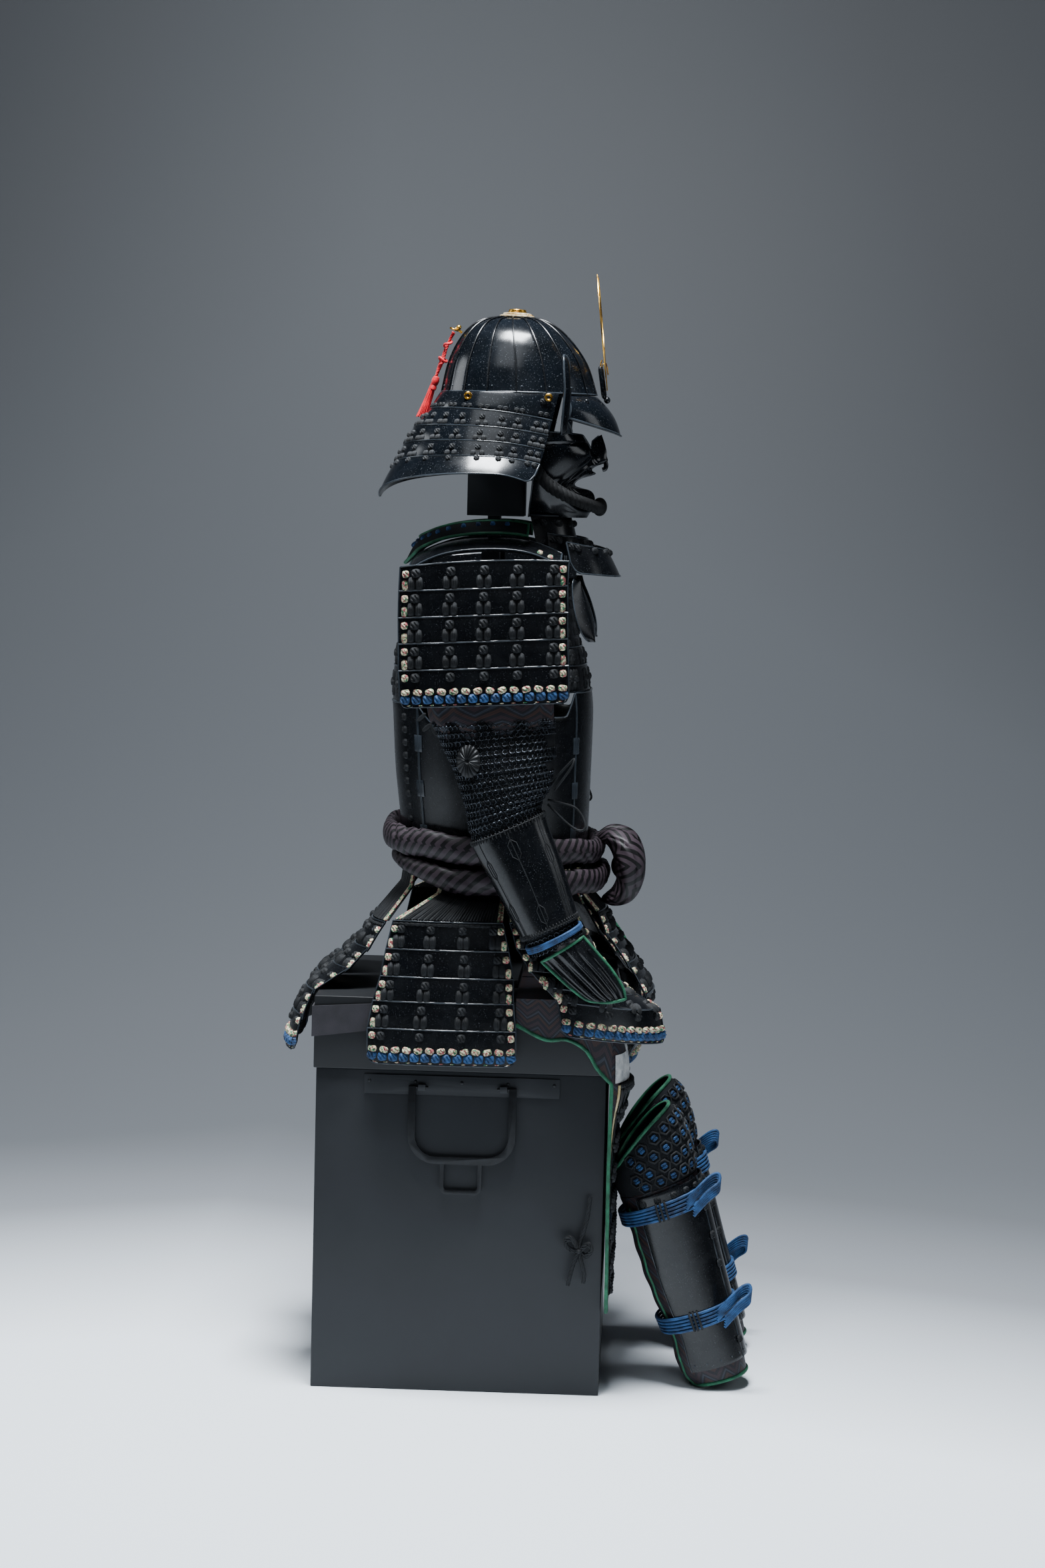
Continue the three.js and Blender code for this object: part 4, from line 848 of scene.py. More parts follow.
plates, rims, neck_faces = lames("neck_lames", NECK, neck_face, columns=60, corner=22)
fit(plates, bowl_lacquer, "neck_guard")
fit(rims, rim_lacquer)
ties = []
all_round = list(np.linspace(0.105, 0.895, 16))
for lame, face in enumerate(neck_faces):
    down, legs_to = (0.36, 0.86) if lame < len(neck_faces) - 1 else (0.12, None)
    for across in [0.018, 0.045] + all_round + [0.955, 0.982]:
        knot_and_legs(ties, face, across, down, 9.5, (8.4, 11), legs_to, 500 + 24 * lame)
lace("neck_knots", ties)

BAND_TOP = dict(rear_z=1484.6, side_z=1484.6, tip_z=1484.6, rear=-66, half=106, tip=116)
BAND_FOOT = dict(NECK[0], rear_z=1457.5, side_z=1459.5, tip_z=1444.5)


def band_face(across, down):
    """A point on the strip over the neck guard's top."""
    at = {k: BAND_TOP[k] + (BAND_FOOT[k] - BAND_TOP[k]) * down for k in BAND_TOP}
    return horseshoe(at, across, 0.6 + 0.8 * math.sin(math.pi * down))


fit(walled(shaped_grid("band_strip", 60, 5, band_face), 2.6, 0.5), bowl_lacquer, "helmet_band")
ties = []
for across in [0.03] + all_round + [0.97]:
    pair = [across + shift / 480 for shift in (-4.2, 4.2)]
    ties += tie_row(band_face, "lobe", "black", pair, 0.84, 8.4, 7.5, 3.4)
ties += tie_row(band_face, "knot", "black", (0.04, 0.96), 0.35, 10, 9, 5)
lace("band_legs", ties)
grommets = [[(x + 4.3 * math.cos(a), side * y, 1478 + 4.3 * math.sin(a)) for a in quarter_turns]
            for side in (-1, 1) for x, y in ((-19, 104.1), (101, 108.1))]
fit(rods("band_grommets", grommets, 1.9, closed=True), gilt)

# ------------------------------------------------------------------------------ visor, ears, crest
# A short peak riveted under the bowl's front with a rolled lip, two small ears where the neck
# guard's top lame turns back, and a plain gilt crescent that stands in a tongue on the peak.
RIM = BOWL[0]


def visor_face(across, down):
    """A point on the peak, from the bowl down and out to its lip."""
    turn = across * 2 - 1
    reach = math.radians(56)
    x0, y0, z0 = oval(dict(RIM, z=1481.5), turn * reach, 0.92)
    x1, y1, z1 = oval(dict(z=1424, rear=-177, front=207, half=116), turn * reach * 0.98, 0.92)
    z1 += 24 * abs(turn) ** 1.6
    bulge = 6 * math.sin(down * math.pi) + 1.4
    return (x0 + (x1 - x0) * down + bulge, y0 + (y1 - y0) * down + turn * bulge * 0.4,
            z0 + (z1 - z0) * down + bulge * 0.3)


fit(walled(shaped_grid("visor_plate", 48, 14, visor_face), 2.4, 0.5), bowl_lacquer, "visor")
lip = run_over(visor_face, (0, 0.25, 0, 1, 6), (0.01, 1, 0.99, 1, 60), (1, 1, 1, 0.25, 6))
fit(rods("visor_lip", [lip], 1.7), rim_lacquer)
heads = [visor_face(a, 0.2) for a in (0.16, 0.84)]
fit(rivets("visor_rivets", heads, (1, 0, 0.4), 4.0, 0.8, 16), bowl_lacquer)


def ear_face(side):
    """One ear: across runs out from the helmet, down from its top edge."""
    def where(across, down):
        swing = math.sin(across * math.pi * 0.5)
        high, low = 1482 + 58 * swing, 1449 - 26 * swing
        full = math.sqrt(max(0, 1 - abs(2 * down - 1) ** 3))
        return (122 + 9 * math.sin(across * math.pi) + 8 * (0.5 - abs(down - 0.45)),
                side * (107 + (42 * (0.55 + 0.45 * full)) * across), high + (low - high) * down)
    return where


for word, side in SIDES:
    face = ear_face(side)
    ear = walled(shaped_grid(f"ear_{word}", 12, 28, face, inside=(0, 0, 1480)), 2.4, 0.5)
    fit(ear, bowl_lacquer, f"turnback_{word}")
    outline = run_over(face, (0.1, 0, 1, 0, 8), (1, 0.02, 1, 0.98, 24), (1, 1, 0.1, 1, 8))
    fit(rods(f"ear_rim_{word}", [outline], 1.7), rim_lacquer)

fit(rounded_copy("crest_holder", "crest_tongue", 0.8), bowl_lacquer, "crest_holder")
fit(rounded_copy("crest", "gilt_crescent", 0.35), gilt, "crest")
hooks = [[(174.5, y, 1526), (175, y, 1533), (176.5, y * 0.8, 1538)] for y in (-4, 4)]
hooks.append([(176, 0, 1524), (178, 0, 1532), (183, 0, 1533), (185, 0, 1526), (186.5, 0, 1516)])
fit(rods("crest_prongs", hooks, 0.9), gilt)
fit(rivets("peak_knob", [(186, 0, 1478)], (1, 0, 0.3), 5.5, 0.9, 14), bowl_lacquer)

# ------------------------------------------------------------------------------ half mask
# Iron half mask hammered into a fierce old face, a common traditional form: hooked nose with
# flared nostrils, deep wrinkles round an open mouth, and a short spike up between the eyes.
MASK = table("z back front half", (1428, 101, 150, 80), (1406, 92, 163, 81), (1384, 85, 168, 79),
             (1361, 80, 153, 75), (1347, 78, 141, 70), (1336, 77, 150, 66), (1320, 75, 158, 59),
             (1300, 73, 160, 46))
PROFILE = table("z x wide", (1434, 177, 3), (1424, 180, 3.5), (1410, 185, 5), (1396, 188, 7), (1386, 188, 9),
                (1381, 181, 11), (1377, 169, 12), (1372, 163, 15), (1367, 170, 17), (1363, 163, 20),
                (1358, 147, 26), (1350, 139, 30), (1346, 144, 29), (1342, 163, 22), (1334, 168, 19),
                (1320, 171, 17), (1309, 166, 19), (1300, 160, 22))
MASK_TOP, CHIN = 1424, 1300


def hump(distance, width):
    """A soft bell of height 1 that falls away over a width."""
    return math.exp(-(distance / width) ** 2)


def mask_face(across, down):
    """A point on the mask: dipped beside the nose's spike, with its profile down the middle."""
    turn = across * 2 - 1
    share = abs(turn)
    top = MASK_TOP - 20 * hump(share - 0.07, 0.055) + 4 * share + 6 * hump(share, 0.03)
    z = top + (CHIN - top) * down
    at = read(MASK, "z", z)
    angle = turn * math.pi / 2
    x = at["back"] + (at["front"] - at["back"]) * max(0, math.cos(angle)) ** 0.9
    y = at["half"] * power(math.sin(angle), 0.9)
    line = read(PROFILE, "z", z)
    x += (line["x"] - at["front"]) * hump(y, line["wide"])
    # wings of the nostrils, cheekbones, and wrinkles that ring the corner of the mouth
    x += 6 * hump(abs(y) - 13, 4) * hump(z - 1384, 5)
    x += 5 * hump(abs(y) - 44, 15) * hump(z - 1398, 11)
    away = math.hypot(abs(y) - 20, (z - 1351) * 0.9)
    wrinkle = 2.4 * math.cos(2 * math.pi * (away - 13) / 12.5) * hump(away - 26, 15)
    under_eye = -2.2 * hump(z - 1414 + 5 * share, 2.4) * (share > 0.2)
    grow = wrinkle + under_eye
    return x + grow * math.cos(angle), y + grow * math.sin(angle), z


fit(walled(shaped_grid("mask_shell", 128, 96, mask_face), 2.2, 0), bowl_lacquer, "mask")
NOSE_HOOK = [(178, 0, 1391), (184.5, 0, 1387), (187, 0, 1380), (185.5, 0, 1374.5), (181.5, 0, 1373)]
fit(rods("mask_nose_hook", [smooth_path(NOSE_HOOK, 16)], 3.5), bowl_lacquer)
edges = [run_over(mask_face, leg) for leg in ((0, 0, 1, 0, 112), (0, 0, 0, 1, 30), (1, 0, 1, 1, 30))]
fit(rods("mask_rim", edges, 1.1, sides=6), rim_lacquer)

# The chin cord: a heavy black plait from the mask's cheeks, tied under the chin in a round knot.
# the plait's silk is a darker copy of the black silk: painted shade, for the helmet's shadow over it
chin_silk = silk("chin_plait_painted_shade", "black_cord", "#020203", "#08090b", sheen=0.0, rough=0.8)
CHIN_CORD = [(84, -97, 1372), (102, -94, 1350), (128, -87, 1334), (155, -68, 1323), (173, -36, 1317),
             (177, -8, 1316)]
pieces = []
for side in (-1, 1):
    heavy = [(x, -y * side, z) for x, y, z in CHIN_CORD]
    thin = [(x - 4, (-y + 2) * side, z + 15 - 14 * i / 5) for i, (x, y, z) in enumerate(CHIN_CORD)]
    pieces += [braid(f"chin_plait{side}", heavy, 9.5, 4, 34, 110),
               braid(f"chin_upper{side}", thin, 4.0, 3, 16, 110)]
wraps = [[(179 + 7.6 * math.cos(a) * math.cos(lean), 11.5 * math.cos(a) * math.sin(lean),
           1317 + 10.5 * math.sin(a)) for a in quarter_turns] for lean in np.linspace(0, math.pi, 8)[:-1]]
pieces.append(rods("chin_wraps", wraps, 3.6, closed=True))
fit(joined("chin_plaits", pieces), chin_silk, "chin_cord")

# The throat guard: three stepped tiers that hang from the mask over the collar, each a short
# upright band set outside the one above it.
THROAT = table("end_z front_z back front half", (1303, 1302, 76, 134, 52), (1262, 1258, 86, 148, 62),
               (1276, 1268, 103, 160, 69), (1246, 1240, 108, 172, 76), (1264, 1252, 132, 190, 84),
               (1219, 1213, 143, 213, 95))


def throat_face(across, place, grow):
    """A point on a tier: the table has two rows for each, its top and its foot."""
    tier = min(int(place), 2)
    above, below = THROAT[2 * tier:2 * tier + 2]
    at = {k: above[k] + (below[k] - above[k]) * (place - tier) ** 1.3 for k in above}
    turn = across * 2 - 1
    angle = turn * math.pi / 2
    return (at["back"] + (at["front"] + grow - at["back"]) * max(0, math.cos(angle)) ** 0.9,
            (at["half"] + grow) * power(math.sin(angle), 0.9),
            at["front_z"] + (at["end_z"] - at["front_z"]) * abs(turn) ** 1.5)


plates, rims, tiers = lames("throat_lames", THROAT[2:], throat_face, columns=40, corner=12, lap=-0.001,
                            rim=1.3)
fit(plates, plate_lacquer, "throat_guard")
fit(rims, rim_lacquer)
ties = []
for down, face in zip((0.36, 0.36, 0.2), tiers):
    ties += tie_row(face, "knot", "black", (0.03, 0.075, 0.22, 0.36, 0.5, 0.64, 0.78, 0.925, 0.97), down,
                    11, 11, 6)
lace("throat_knots", ties)

# ------------------------------------------------------------------------------ cuirass
# Four iron walls of body armour, lacquered satin black and hinged at the sides, with laced lames
# over the chest and the upper back. The walls' edges are rolled.
CUIRASS = table("z rear front half", (775, -108, 172, 150), (830, -111, 174, 152), (917, -121, 176, 162),
                (1009, -127, 177, 168), (1040, -130, 174, 168))
FRONT_SEAM, REAR_SEAM, SEAM = 35, 130, 0.12
FOOT, FRONT_TOP, BACK_TOP = 775, 1040, 1018


def arm_edge(across):
    """The height of a side wall's hollowed upper edge, which falls away to the rear."""
    return FRONT_TOP - 35 * min(1, 3 * math.sin(across * math.pi)) - 88 * max(0, across - 0.75)


def body_wall(start, end, top):
    """A wall of the body between two angles in degrees, under an upper edge."""
    def where(across, down):
        angle = math.radians(start + (end - start) * across)
        z = top(across) + (FOOT - top(across)) * down
        return oval(dict(read(CUIRASS, "z", z), z=z), angle, 0.8, 0.3)
    return where


walls = {
    "cuirass_front": (-FRONT_SEAM + SEAM, FRONT_SEAM - SEAM, lambda a: FRONT_TOP),
    "cuirass_back": (REAR_SEAM + SEAM, 360 - REAR_SEAM - SEAM, lambda a: BACK_TOP),
    "cuirass_side_left": (FRONT_SEAM + SEAM, REAR_SEAM - SEAM, arm_edge),
    "cuirass_side_right": (-FRONT_SEAM - SEAM, -REAR_SEAM + SEAM, arm_edge),
}
edges = []
for name, (start, end, top) in walls.items():
    face = body_wall(start, end, top)
    fit(walled(shaped_grid(f"{name}_wall", 40, 24, face), 2.6, 0.5), plate_lacquer, name)
    edges += [run_over(face, leg)
              for leg in ((0, 0, 1, 0, 40), (0.004, 0, 0.004, 1, 20), (0.996, 0, 0.996, 1, 20))]
fit(rods("cuirass_edges", edges, 1.2, sides=6), rim_lacquer)

# hinge plates down both seams of each side wall, and the laced underarm strip
hinges, pins, ties = [], [], []
LEAF_TALL = 0.11
for side in (-1, 1):
    for seam in (FRONT_SEAM, REAR_SEAM):
        face = body_wall(side * seam - 3.2, side * seam + 3.2, lambda a: 1000)
        for top in (0.12, 0.42, 0.72):
            leaf = shaped_grid(f"leaf{side}{seam}{top}", 4, 4, lambda a, d: face(a, top + LEAF_TALL * d))
            hinges.append(walled(leaf, -1.2, 0.3))
            pins.append(run_over(face, (0.5, top, 0.5, top + LEAF_TALL, 2)))
    strip = body_wall(side * 62, side * 128, arm_edge)
    ties += tie_row(strip, "lobe", "black", np.linspace(0.02, 0.98, 16), 0.055, 7, 22, 2.6)
    rear = body_wall(side * 140, side * 148, lambda a: 1010)
    for down in np.linspace(0.05, 0.95, 12):
        ties += tie_row(rear, "knot", "black", [0.5], down, 12, 12, 4)
fit(joined("cuirass_hinges", hinges), rim_lacquer)
fit(rods("hinge_pins", pins, 1.6), rim_lacquer)
lace("cuirass_knots", ties)

CHEST_LAMES = table("z reach half fall", (1200, 136, 96, 24), (1107, 157, 112, 28), (1080, 165, 119, 31),
                    (1041, 172, 122, 32))
BACK_LAMES = table("z reach half fall", (1222, 101, 98, 14), (1150, 114, 104, 18), (1110, 121, 110, 22),
                   (1072, 126, 114, 24), (1019, 129, 117, 26))


def body_lame(rows, facing):
    """A point on the chest's or the back's lames, which curve away at their ends."""
    def where(across, place, grow):
        at = read(numbered(rows), "step", place, soft=False)
        turn = across * 2 - 1
        x = at["reach"] - at["fall"] * abs(turn) ** 2.2 + grow - LEDGE + 0.6
        return x * facing, turn * at["half"], at["z"]
    return where


for name, rows, facing in (("chest_lames", CHEST_LAMES, 1), ("back_lames", BACK_LAMES, -1)):
    plates, rims, faces = lames(f"{name}_plates", rows, body_lame(rows, facing), columns=30, corner=4,
                                lap=0.08)
    fit(plates, plate_lacquer, name)
    fit(rims, rim_lacquer)
    ties = []
    for i, face in enumerate(faces):
        # the first lame is the tallest, so that its cords have more lengths
        lengths, knots_at = ((0.3, 0.75), 0.5) if i else ((0.12, 0.3, 0.5, 0.7, 0.88), 0.04)
        for across in (0.05, 0.12, 0.3, 0.5, 0.7, 0.88, 0.95):
            for place in (across - 3.6 / 220, across + 3.6 / 220):
                for down in lengths:
                    ties += tie_row(face, "lobe", "black", [place], down, 7.2, 15, 3)
            ties += tie_row(face, "knot", "black", [across], knots_at, 13, 12, 5)
    lace(f"{name}_cords", ties)

# ------------------------------------------------------------------------------ straps and collar
# Padded shoulder straps of lacquered hide, a folded cloth collar piped in green silk, and two
# leaf-shaped iron plates that hang over the straps' ends.
SHOULDER = table("x z", (-100, 1226), (-87, 1239), (-46, 1257), (12, 1265), (75, 1262), (133, 1241))

black_cloth, tree = new_material("black_hemp_cloth", "black_cloth")
weave_map = add_node(tree, "TexCoord").outputs["UV"]
# plain weave, threads about 1.6 mm apart, drawn coarser than the real 0.7 mm so that it shows
warp = add_node(tree, "TexWave", {"bands_direction": "X"}, Vector=weave_map, Scale=100.0, Distortion=0.4)
weft = add_node(tree, "TexWave", {"bands_direction": "Y"}, Vector=weave_map, Scale=100.0, Distortion=0.4)
cross = add_node(tree, "Math", {"operation": "MAXIMUM"}, _0=warp.outputs[1], _1=weft.outputs[1])
fade = add_node(tree, "TexNoise", Vector=add_node(tree, "TexCoord").outputs["Object"], Scale=22.0, Detail=5.0)
shade = add_node(tree, "ValToRGB", {"stops": [(0.3, "#08090b"), (0.75, "#121418")]}, Fac=fade.outputs[0])
dent = add_node(tree, "Bump", Height=cross.outputs[0], Strength=0.35, Distance=0.0005)
hemp = add_node(tree, "BsdfPrincipled", Base_Color=shade.outputs[0], Roughness=0.85, Specular_IOR_Level=0.2,
                Normal=dent.outputs[0])
add_node(tree, "OutputMaterial", Surface=hemp.outputs[0])


def shoulder_z(x):
    """The height of the shoulder line at a distance ahead."""
    return read(SHOULDER, "x", x)["z"]


def strap_face(side):
    """A shoulder strap: across runs from its rear end to the front."""
    def where(across, down):
        x = -99 + 225 * across
        return x, side * (76 + 70 * down), shoulder_z(x) - 16 * down ** 2 + 3.2
    return where


ties = []
for word, side in SIDES:
    face = strap_face(side)
    strap = walled(shaped_grid(f"strap_{word}", 30, 8, face, inside=(0, 0, 900)), 5, 0.8)
    fit(strap, plate_lacquer, f"shoulder_strap_{word}")
    outline = run_over(face, (0, 0, 1, 0, 24), (1, 0, 1, 1, 6), (1, 1, 0, 1, 24), (0, 1, 0, 0, 6))
    fit(rods(f"strap_rim_{word}", [outline], 1.6, closed=True), rim_lacquer)
    ties += tie_row(face, "knot", "flecked", (0.86, 0.93), 0.82, 9, 9, 4, inside=(0, 0, 900))
lace("strap_knots", ties)

NAPE, COLLAR_CENTRE, COLLAR_FRONT = 0.6, -30, 74


def collar_face(across, down, lift=4.6):
    """A point on the collar: it bends round the nape and runs forward straight on either side."""
    turn = across * 2 - 1
    share = abs(turn)
    rear = -92 - 22 * down
    y = math.copysign(66 + 26 * down, turn)
    if share < NAPE:
        angle = share / NAPE * math.pi / 2
        x = COLLAR_CENTRE - (COLLAR_CENTRE - rear) * math.cos(angle) ** 0.8
        y *= math.sin(angle) ** 0.8
        back = 4 * (1 - share / NAPE)
    else:
        x = COLLAR_CENTRE + (COLLAR_FRONT - COLLAR_CENTRE) * (share - NAPE) / (1 - NAPE)
        back = 0
    # cupped a little across its width, and gently cockled along it
    cup = 2.2 * math.sin(math.pi * down) + 0.8 * math.sin(17 * across) * math.sin(math.pi * down)
    return x, y, shoulder_z(x) + 3 + 20 - 17.5 * down + back + lift + cup


collar = walled(shaped_grid("collar_cloth", 72, 8, collar_face, inside=(-20, 0, 1000)), 3, 0.6)
fit(collar, black_cloth, "collar")
piping = run_over(lambda a, d: collar_face(a, d, 4), (0, 0, 1, 0, 73), (1, 0.5, 1, 1, 2), (1, 1, 0, 1, 73),
                  (0, 0.5, 0, 0.5, 1))
fit(rods("collar_piping", [piping], 2.5, closed=True), green_silk)
stitches = np.linspace(0.06, 0.94, 22)
lace("collar_knots", tie_row(collar_face, "knot", "blue", stitches, 0.42, 8, 8, 4.5, inside=(-20, 0, 1000)))


def leaf_face(side):
    """A leaf-shaped plate, rounded at both ends and wider below."""
    def where(across, down):
        width = 25 * math.sqrt(max(0.0008, 1 - abs(down * 2 - 1) ** 2.0)) * (0.72 + 0.42 * down)
        turn = across * 2 - 1
        ridge = 2.5 * (1 - abs(turn)) ** 1.5
        ahead = 150 + 26 * down - 5 * turn * turn + 1.2 + ridge + 0.5 * turn * width
        return ahead, side * (88 - 0.85 * turn * width), 1210 - 94 * down
    return where


for word, side in SIDES:
    face = leaf_face(side)
    fit(walled(shaped_grid(f"leaf_plate_{word}", 16, 32, face), 2, 0), plate_lacquer, f"leaf_{word}")
    outline = run_over(face, (0, 0.01, 0, 0.99, 32), (1, 0.99, 1, 0.01, 32))
    fit(rods(f"leaf_rim_{word}", [outline], 1.1, closed=True), rim_lacquer)

# ------------------------------------------------------------------------------ shoulder guards
# Five flat lames of lacquered hide on each shoulder, laced with spaced pairs of black silk cords,
# with flecked edging cords and, on the last lame, a row of flecked and a row of blue knots.
GUARD = table("z rear front y", (1233, -104, 141, 249), (1198, -105, 140, 250), (1159, -105, 141, 251),
              (1121, -104, 142, 252), (1082, -103, 144, 253), (1028, -99, 146, 253))


def guard_face(side):
    """A point on a shoulder guard, which leans back a little and is arched along its top."""
    def where(across, place, grow):
        at = read(numbered(GUARD), "step", place, soft=False)
        turn = across * 2 - 1
        x = at["rear"] + (at["front"] - at["rear"]) * across
        arch = 5 * (1 - turn * turn) * max(0, 1 - place / 0.9)
        return x, side * (at["y"] + 6 * (1 - turn * turn) + grow - LEDGE), at["z"] + 0.058 * (x - 20) + arch
    return where


def spaced_lacing(faces, width, blacks, flecks, heights, pairs, knot=14):
    """Columns of knots with their legs on every lame, and two rows of cross knots along the foot."""
    ties = []
    for i, (face, height) in enumerate(zip(faces, heights)):
        last = i == len(faces) - 1
        down = (11 if last else 10.5) / height
        for across in blacks:
            knot_and_legs(ties, face, across, down, knot, (knot * 0.8, 21), None if last else 0.8, width)
        for across in flecks:
            ties += tie_row(face, "knot", "flecked", [across], down, 10.5, 11, 5)
            if not last:
                ties += tie_row(face, "lobe", "flecked", [across], 0.72, 9.5, 17, 4.5)
    for k, across in enumerate(np.linspace(0.035, 0.965, pairs - 1)):
        ties += tie_row(face, "knot", "flecked", [across], 0.6, 13.5, 10, 6, spin=0.25 * (-1) ** k)
    ties += tie_row(face, "knot", "blue", np.linspace(0.03, 0.97, pairs), 0.8, 14.5, 13.5, 6.5)
    return ties + tie_row(face, "stud", "flecked", np.linspace(0.05, 0.95, pairs - 1), 0.955, 7, 1.8, 1.2)


def lame_ends(name, faces):
    """Thin rims up both ends of every lame but the last, which has a rim of its own."""
    ends = [run_over(face, (a, 0, a, 1, 8)) for face in faces[:-1] for a in (0, 1)]
    fit(rods(name, ends, 1.0, sides=6), rim_lacquer)


for word, side in SIDES:
    plates, rims, faces = lames(f"guard_lames_{word}", GUARD, guard_face(side), columns=30, corner=10,
                                lap=0.12, inside=(20, side * 150, 1130))
    fit(plates, plate_lacquer, f"shoulder_guard_{word}")
    fit(rims, rim_lacquer)
    lame_ends(f"guard_ends_{word}", faces)
    lace(f"guard_knots_{word}", spaced_lacing(faces, 245, (0.097, 0.305, 0.504, 0.70, 0.915), (0.036, 0.968),
                                              (36, 39, 38, 39, 54), 15))

# ------------------------------------------------------------------------------ sleeves
# Padded sleeves of dark figured silk, gathered at the shoulder, with ring mail sewn over the upper
# arm and wrist, a fluted iron disc at the elbow and lacquered splints down the forearm.
def chevrons(tree, weave_map, across, half_width, per_metre, stops):
    """Zigzag stripes along a cloth: across is the map's axis that they zigzag on, 0 or 1."""
    split = add_node(tree, "SeparateXYZ", _0=weave_map)
    saw = add_node(tree, "Math", {"operation": "PINGPONG"}, _0=split.outputs[across], _1=half_width)
    climb = add_node(tree, "Math", {"operation": "ADD"}, _0=saw.outputs[0], _1=split.outputs[1 - across])
    band = add_node(tree, "Math", {"operation": "MULTIPLY"}, _0=climb.outputs[0], _1=per_metre)
    turn = add_node(tree, "Math", {"operation": "FRACT"}, _0=band.outputs[0])
    return add_node(tree, "ValToRGB", {"stops": stops}, Fac=turn.outputs[0])


brocade, tree = new_material("figured_silk", "brocade")
weave_map = add_node(tree, "TexCoord").outputs["UV"]
# chevrons 36 mm wide in rust and slate threads on a dark ground
dye = chevrons(tree, weave_map, 0, 0.018, 34.0, [
    (0.0, "#141219"), (0.20, "#33201c"), (0.40, "#121116"), (0.52, "#2a303a"), (0.64, "#141218"),
    (0.78, "#2b1d22")])
dye.color_ramp.interpolation = "CONSTANT"
grain = add_node(tree, "TexWave", {"bands_direction": "DIAGONAL"}, Vector=weave_map, Scale=160.0,
                 Distortion=0.8)
share = add_node(tree, "Math", {"operation": "MULTIPLY"}, _0=grain.outputs[1], _1=0.45)
dull = add_node(tree, "Mix", {"data_type": "RGBA"}, _0=share.outputs[0], _6=dye.outputs[0],
                _7=linear("#0f0e12"))
dent = add_node(tree, "Bump", Height=grain.outputs[1], Strength=0.3, Distance=0.0004)
thread = add_node(tree, "BsdfPrincipled", Base_Color=dull.outputs[2], Roughness=0.55, Specular_IOR_Level=0.3,
                  Normal=dent.outputs[0])
add_node(tree, "OutputMaterial", Surface=thread.outputs[0])

# drawn wire, blacked and rubbed bright in spots of about 4 mm
mail_iron = metal("mail_iron", "black_iron", 260.0, 2.0, [(0.35, "#0a0b0d"), (0.7, "#3a3f46")], 0.85, 0.24)

SLEEVE = numbered(table(
    "rear_x rear_z front_x front_z y half", (-52, 1192, 106, 1196, 182, 22), (-58, 1108, 118, 1114, 206, 24),
    (-60, 1021, 122, 1026, 214, 26), (-41, 973, 124, 992, 216, 27), (-19, 930, 126, 952, 224, 30),
    (-1, 880, 120, 910, 232, 31), (11, 832, 108, 875, 236, 32), (52, 758, 137, 796, 239, 31),
    (92, 686, 162, 720, 242, 28), (104, 662, 171, 700, 243, 26)))


def sleeve_at(along, angle, grow, side):
    """A point on the sleeve. Angle 0 faces forward; the outer side is at 90 degrees."""
    at = read(SLEEVE, "step", along * (len(SLEEVE) - 1))
    half = Vector(((at["front_x"] - at["rear_x"]) / 2, 0, (at["front_z"] - at["rear_z"]) / 2))
    reach = half.length
    out = half.normalized() * (reach + grow) * power(math.cos(angle), 0.9)
    return ((at["front_x"] + at["rear_x"]) / 2 + out.x,
            side * (at["y"] + (at["half"] + grow) * power(math.sin(angle), 0.9)),
            (at["front_z"] + at["rear_z"]) / 2 + out.z)


def sleeve_folds(along, angle):
    """Padded ribs gathered at the shoulder, and soft creases across the bend of the elbow."""
    ribs = 4.6 * abs(math.sin(angle * 5.5)) ** 0.7 * min(1, max(0, (0.40 - along) / 0.12))
    bend = 1.8 * math.sin(46 * along + 1.6 * math.sin(angle * 2)) * hump(along - 0.5, 0.16)
    return ribs + bend * (0.5 + 0.5 * math.cos(angle)) - 1.6


def mail_gap(along, angle):
    """Two gaps down the front where the cloth shows between the lengths of mail."""
    front = abs(math.atan2(math.sin(angle), math.cos(angle)))
    return front < 0.62 and any(abs(along - at) < 0.028 for at in (0.37, 0.47))


# one ring of mail: few-sided, because there are thousands, and a unit across its middle
RING_STEPS, WIRE_STEPS, WIRE = 7, 3, 0.26
ring_points, ring_faces = [], []
for i in range(RING_STEPS):
    for j in range(WIRE_STEPS):
        round_ring, round_wire = 2 * math.pi * i / RING_STEPS, 2 * math.pi * j / WIRE_STEPS
        wide = 1 + WIRE * math.cos(round_wire)
        ring_points.append((wide * math.cos(round_ring), wide * math.sin(round_ring),
                            WIRE * math.sin(round_wire)))
        n, m = (i + 1) % RING_STEPS, (j + 1) % WIRE_STEPS
        ring_faces.append((i * WIRE_STEPS + j, n * WIRE_STEPS + j, n * WIRE_STEPS + m, i * WIRE_STEPS + m))
SHAPES["ring"] = (np.array(ring_points), ring_faces)
RING_RADIUS, RING_PITCH = 3.8, 6.8


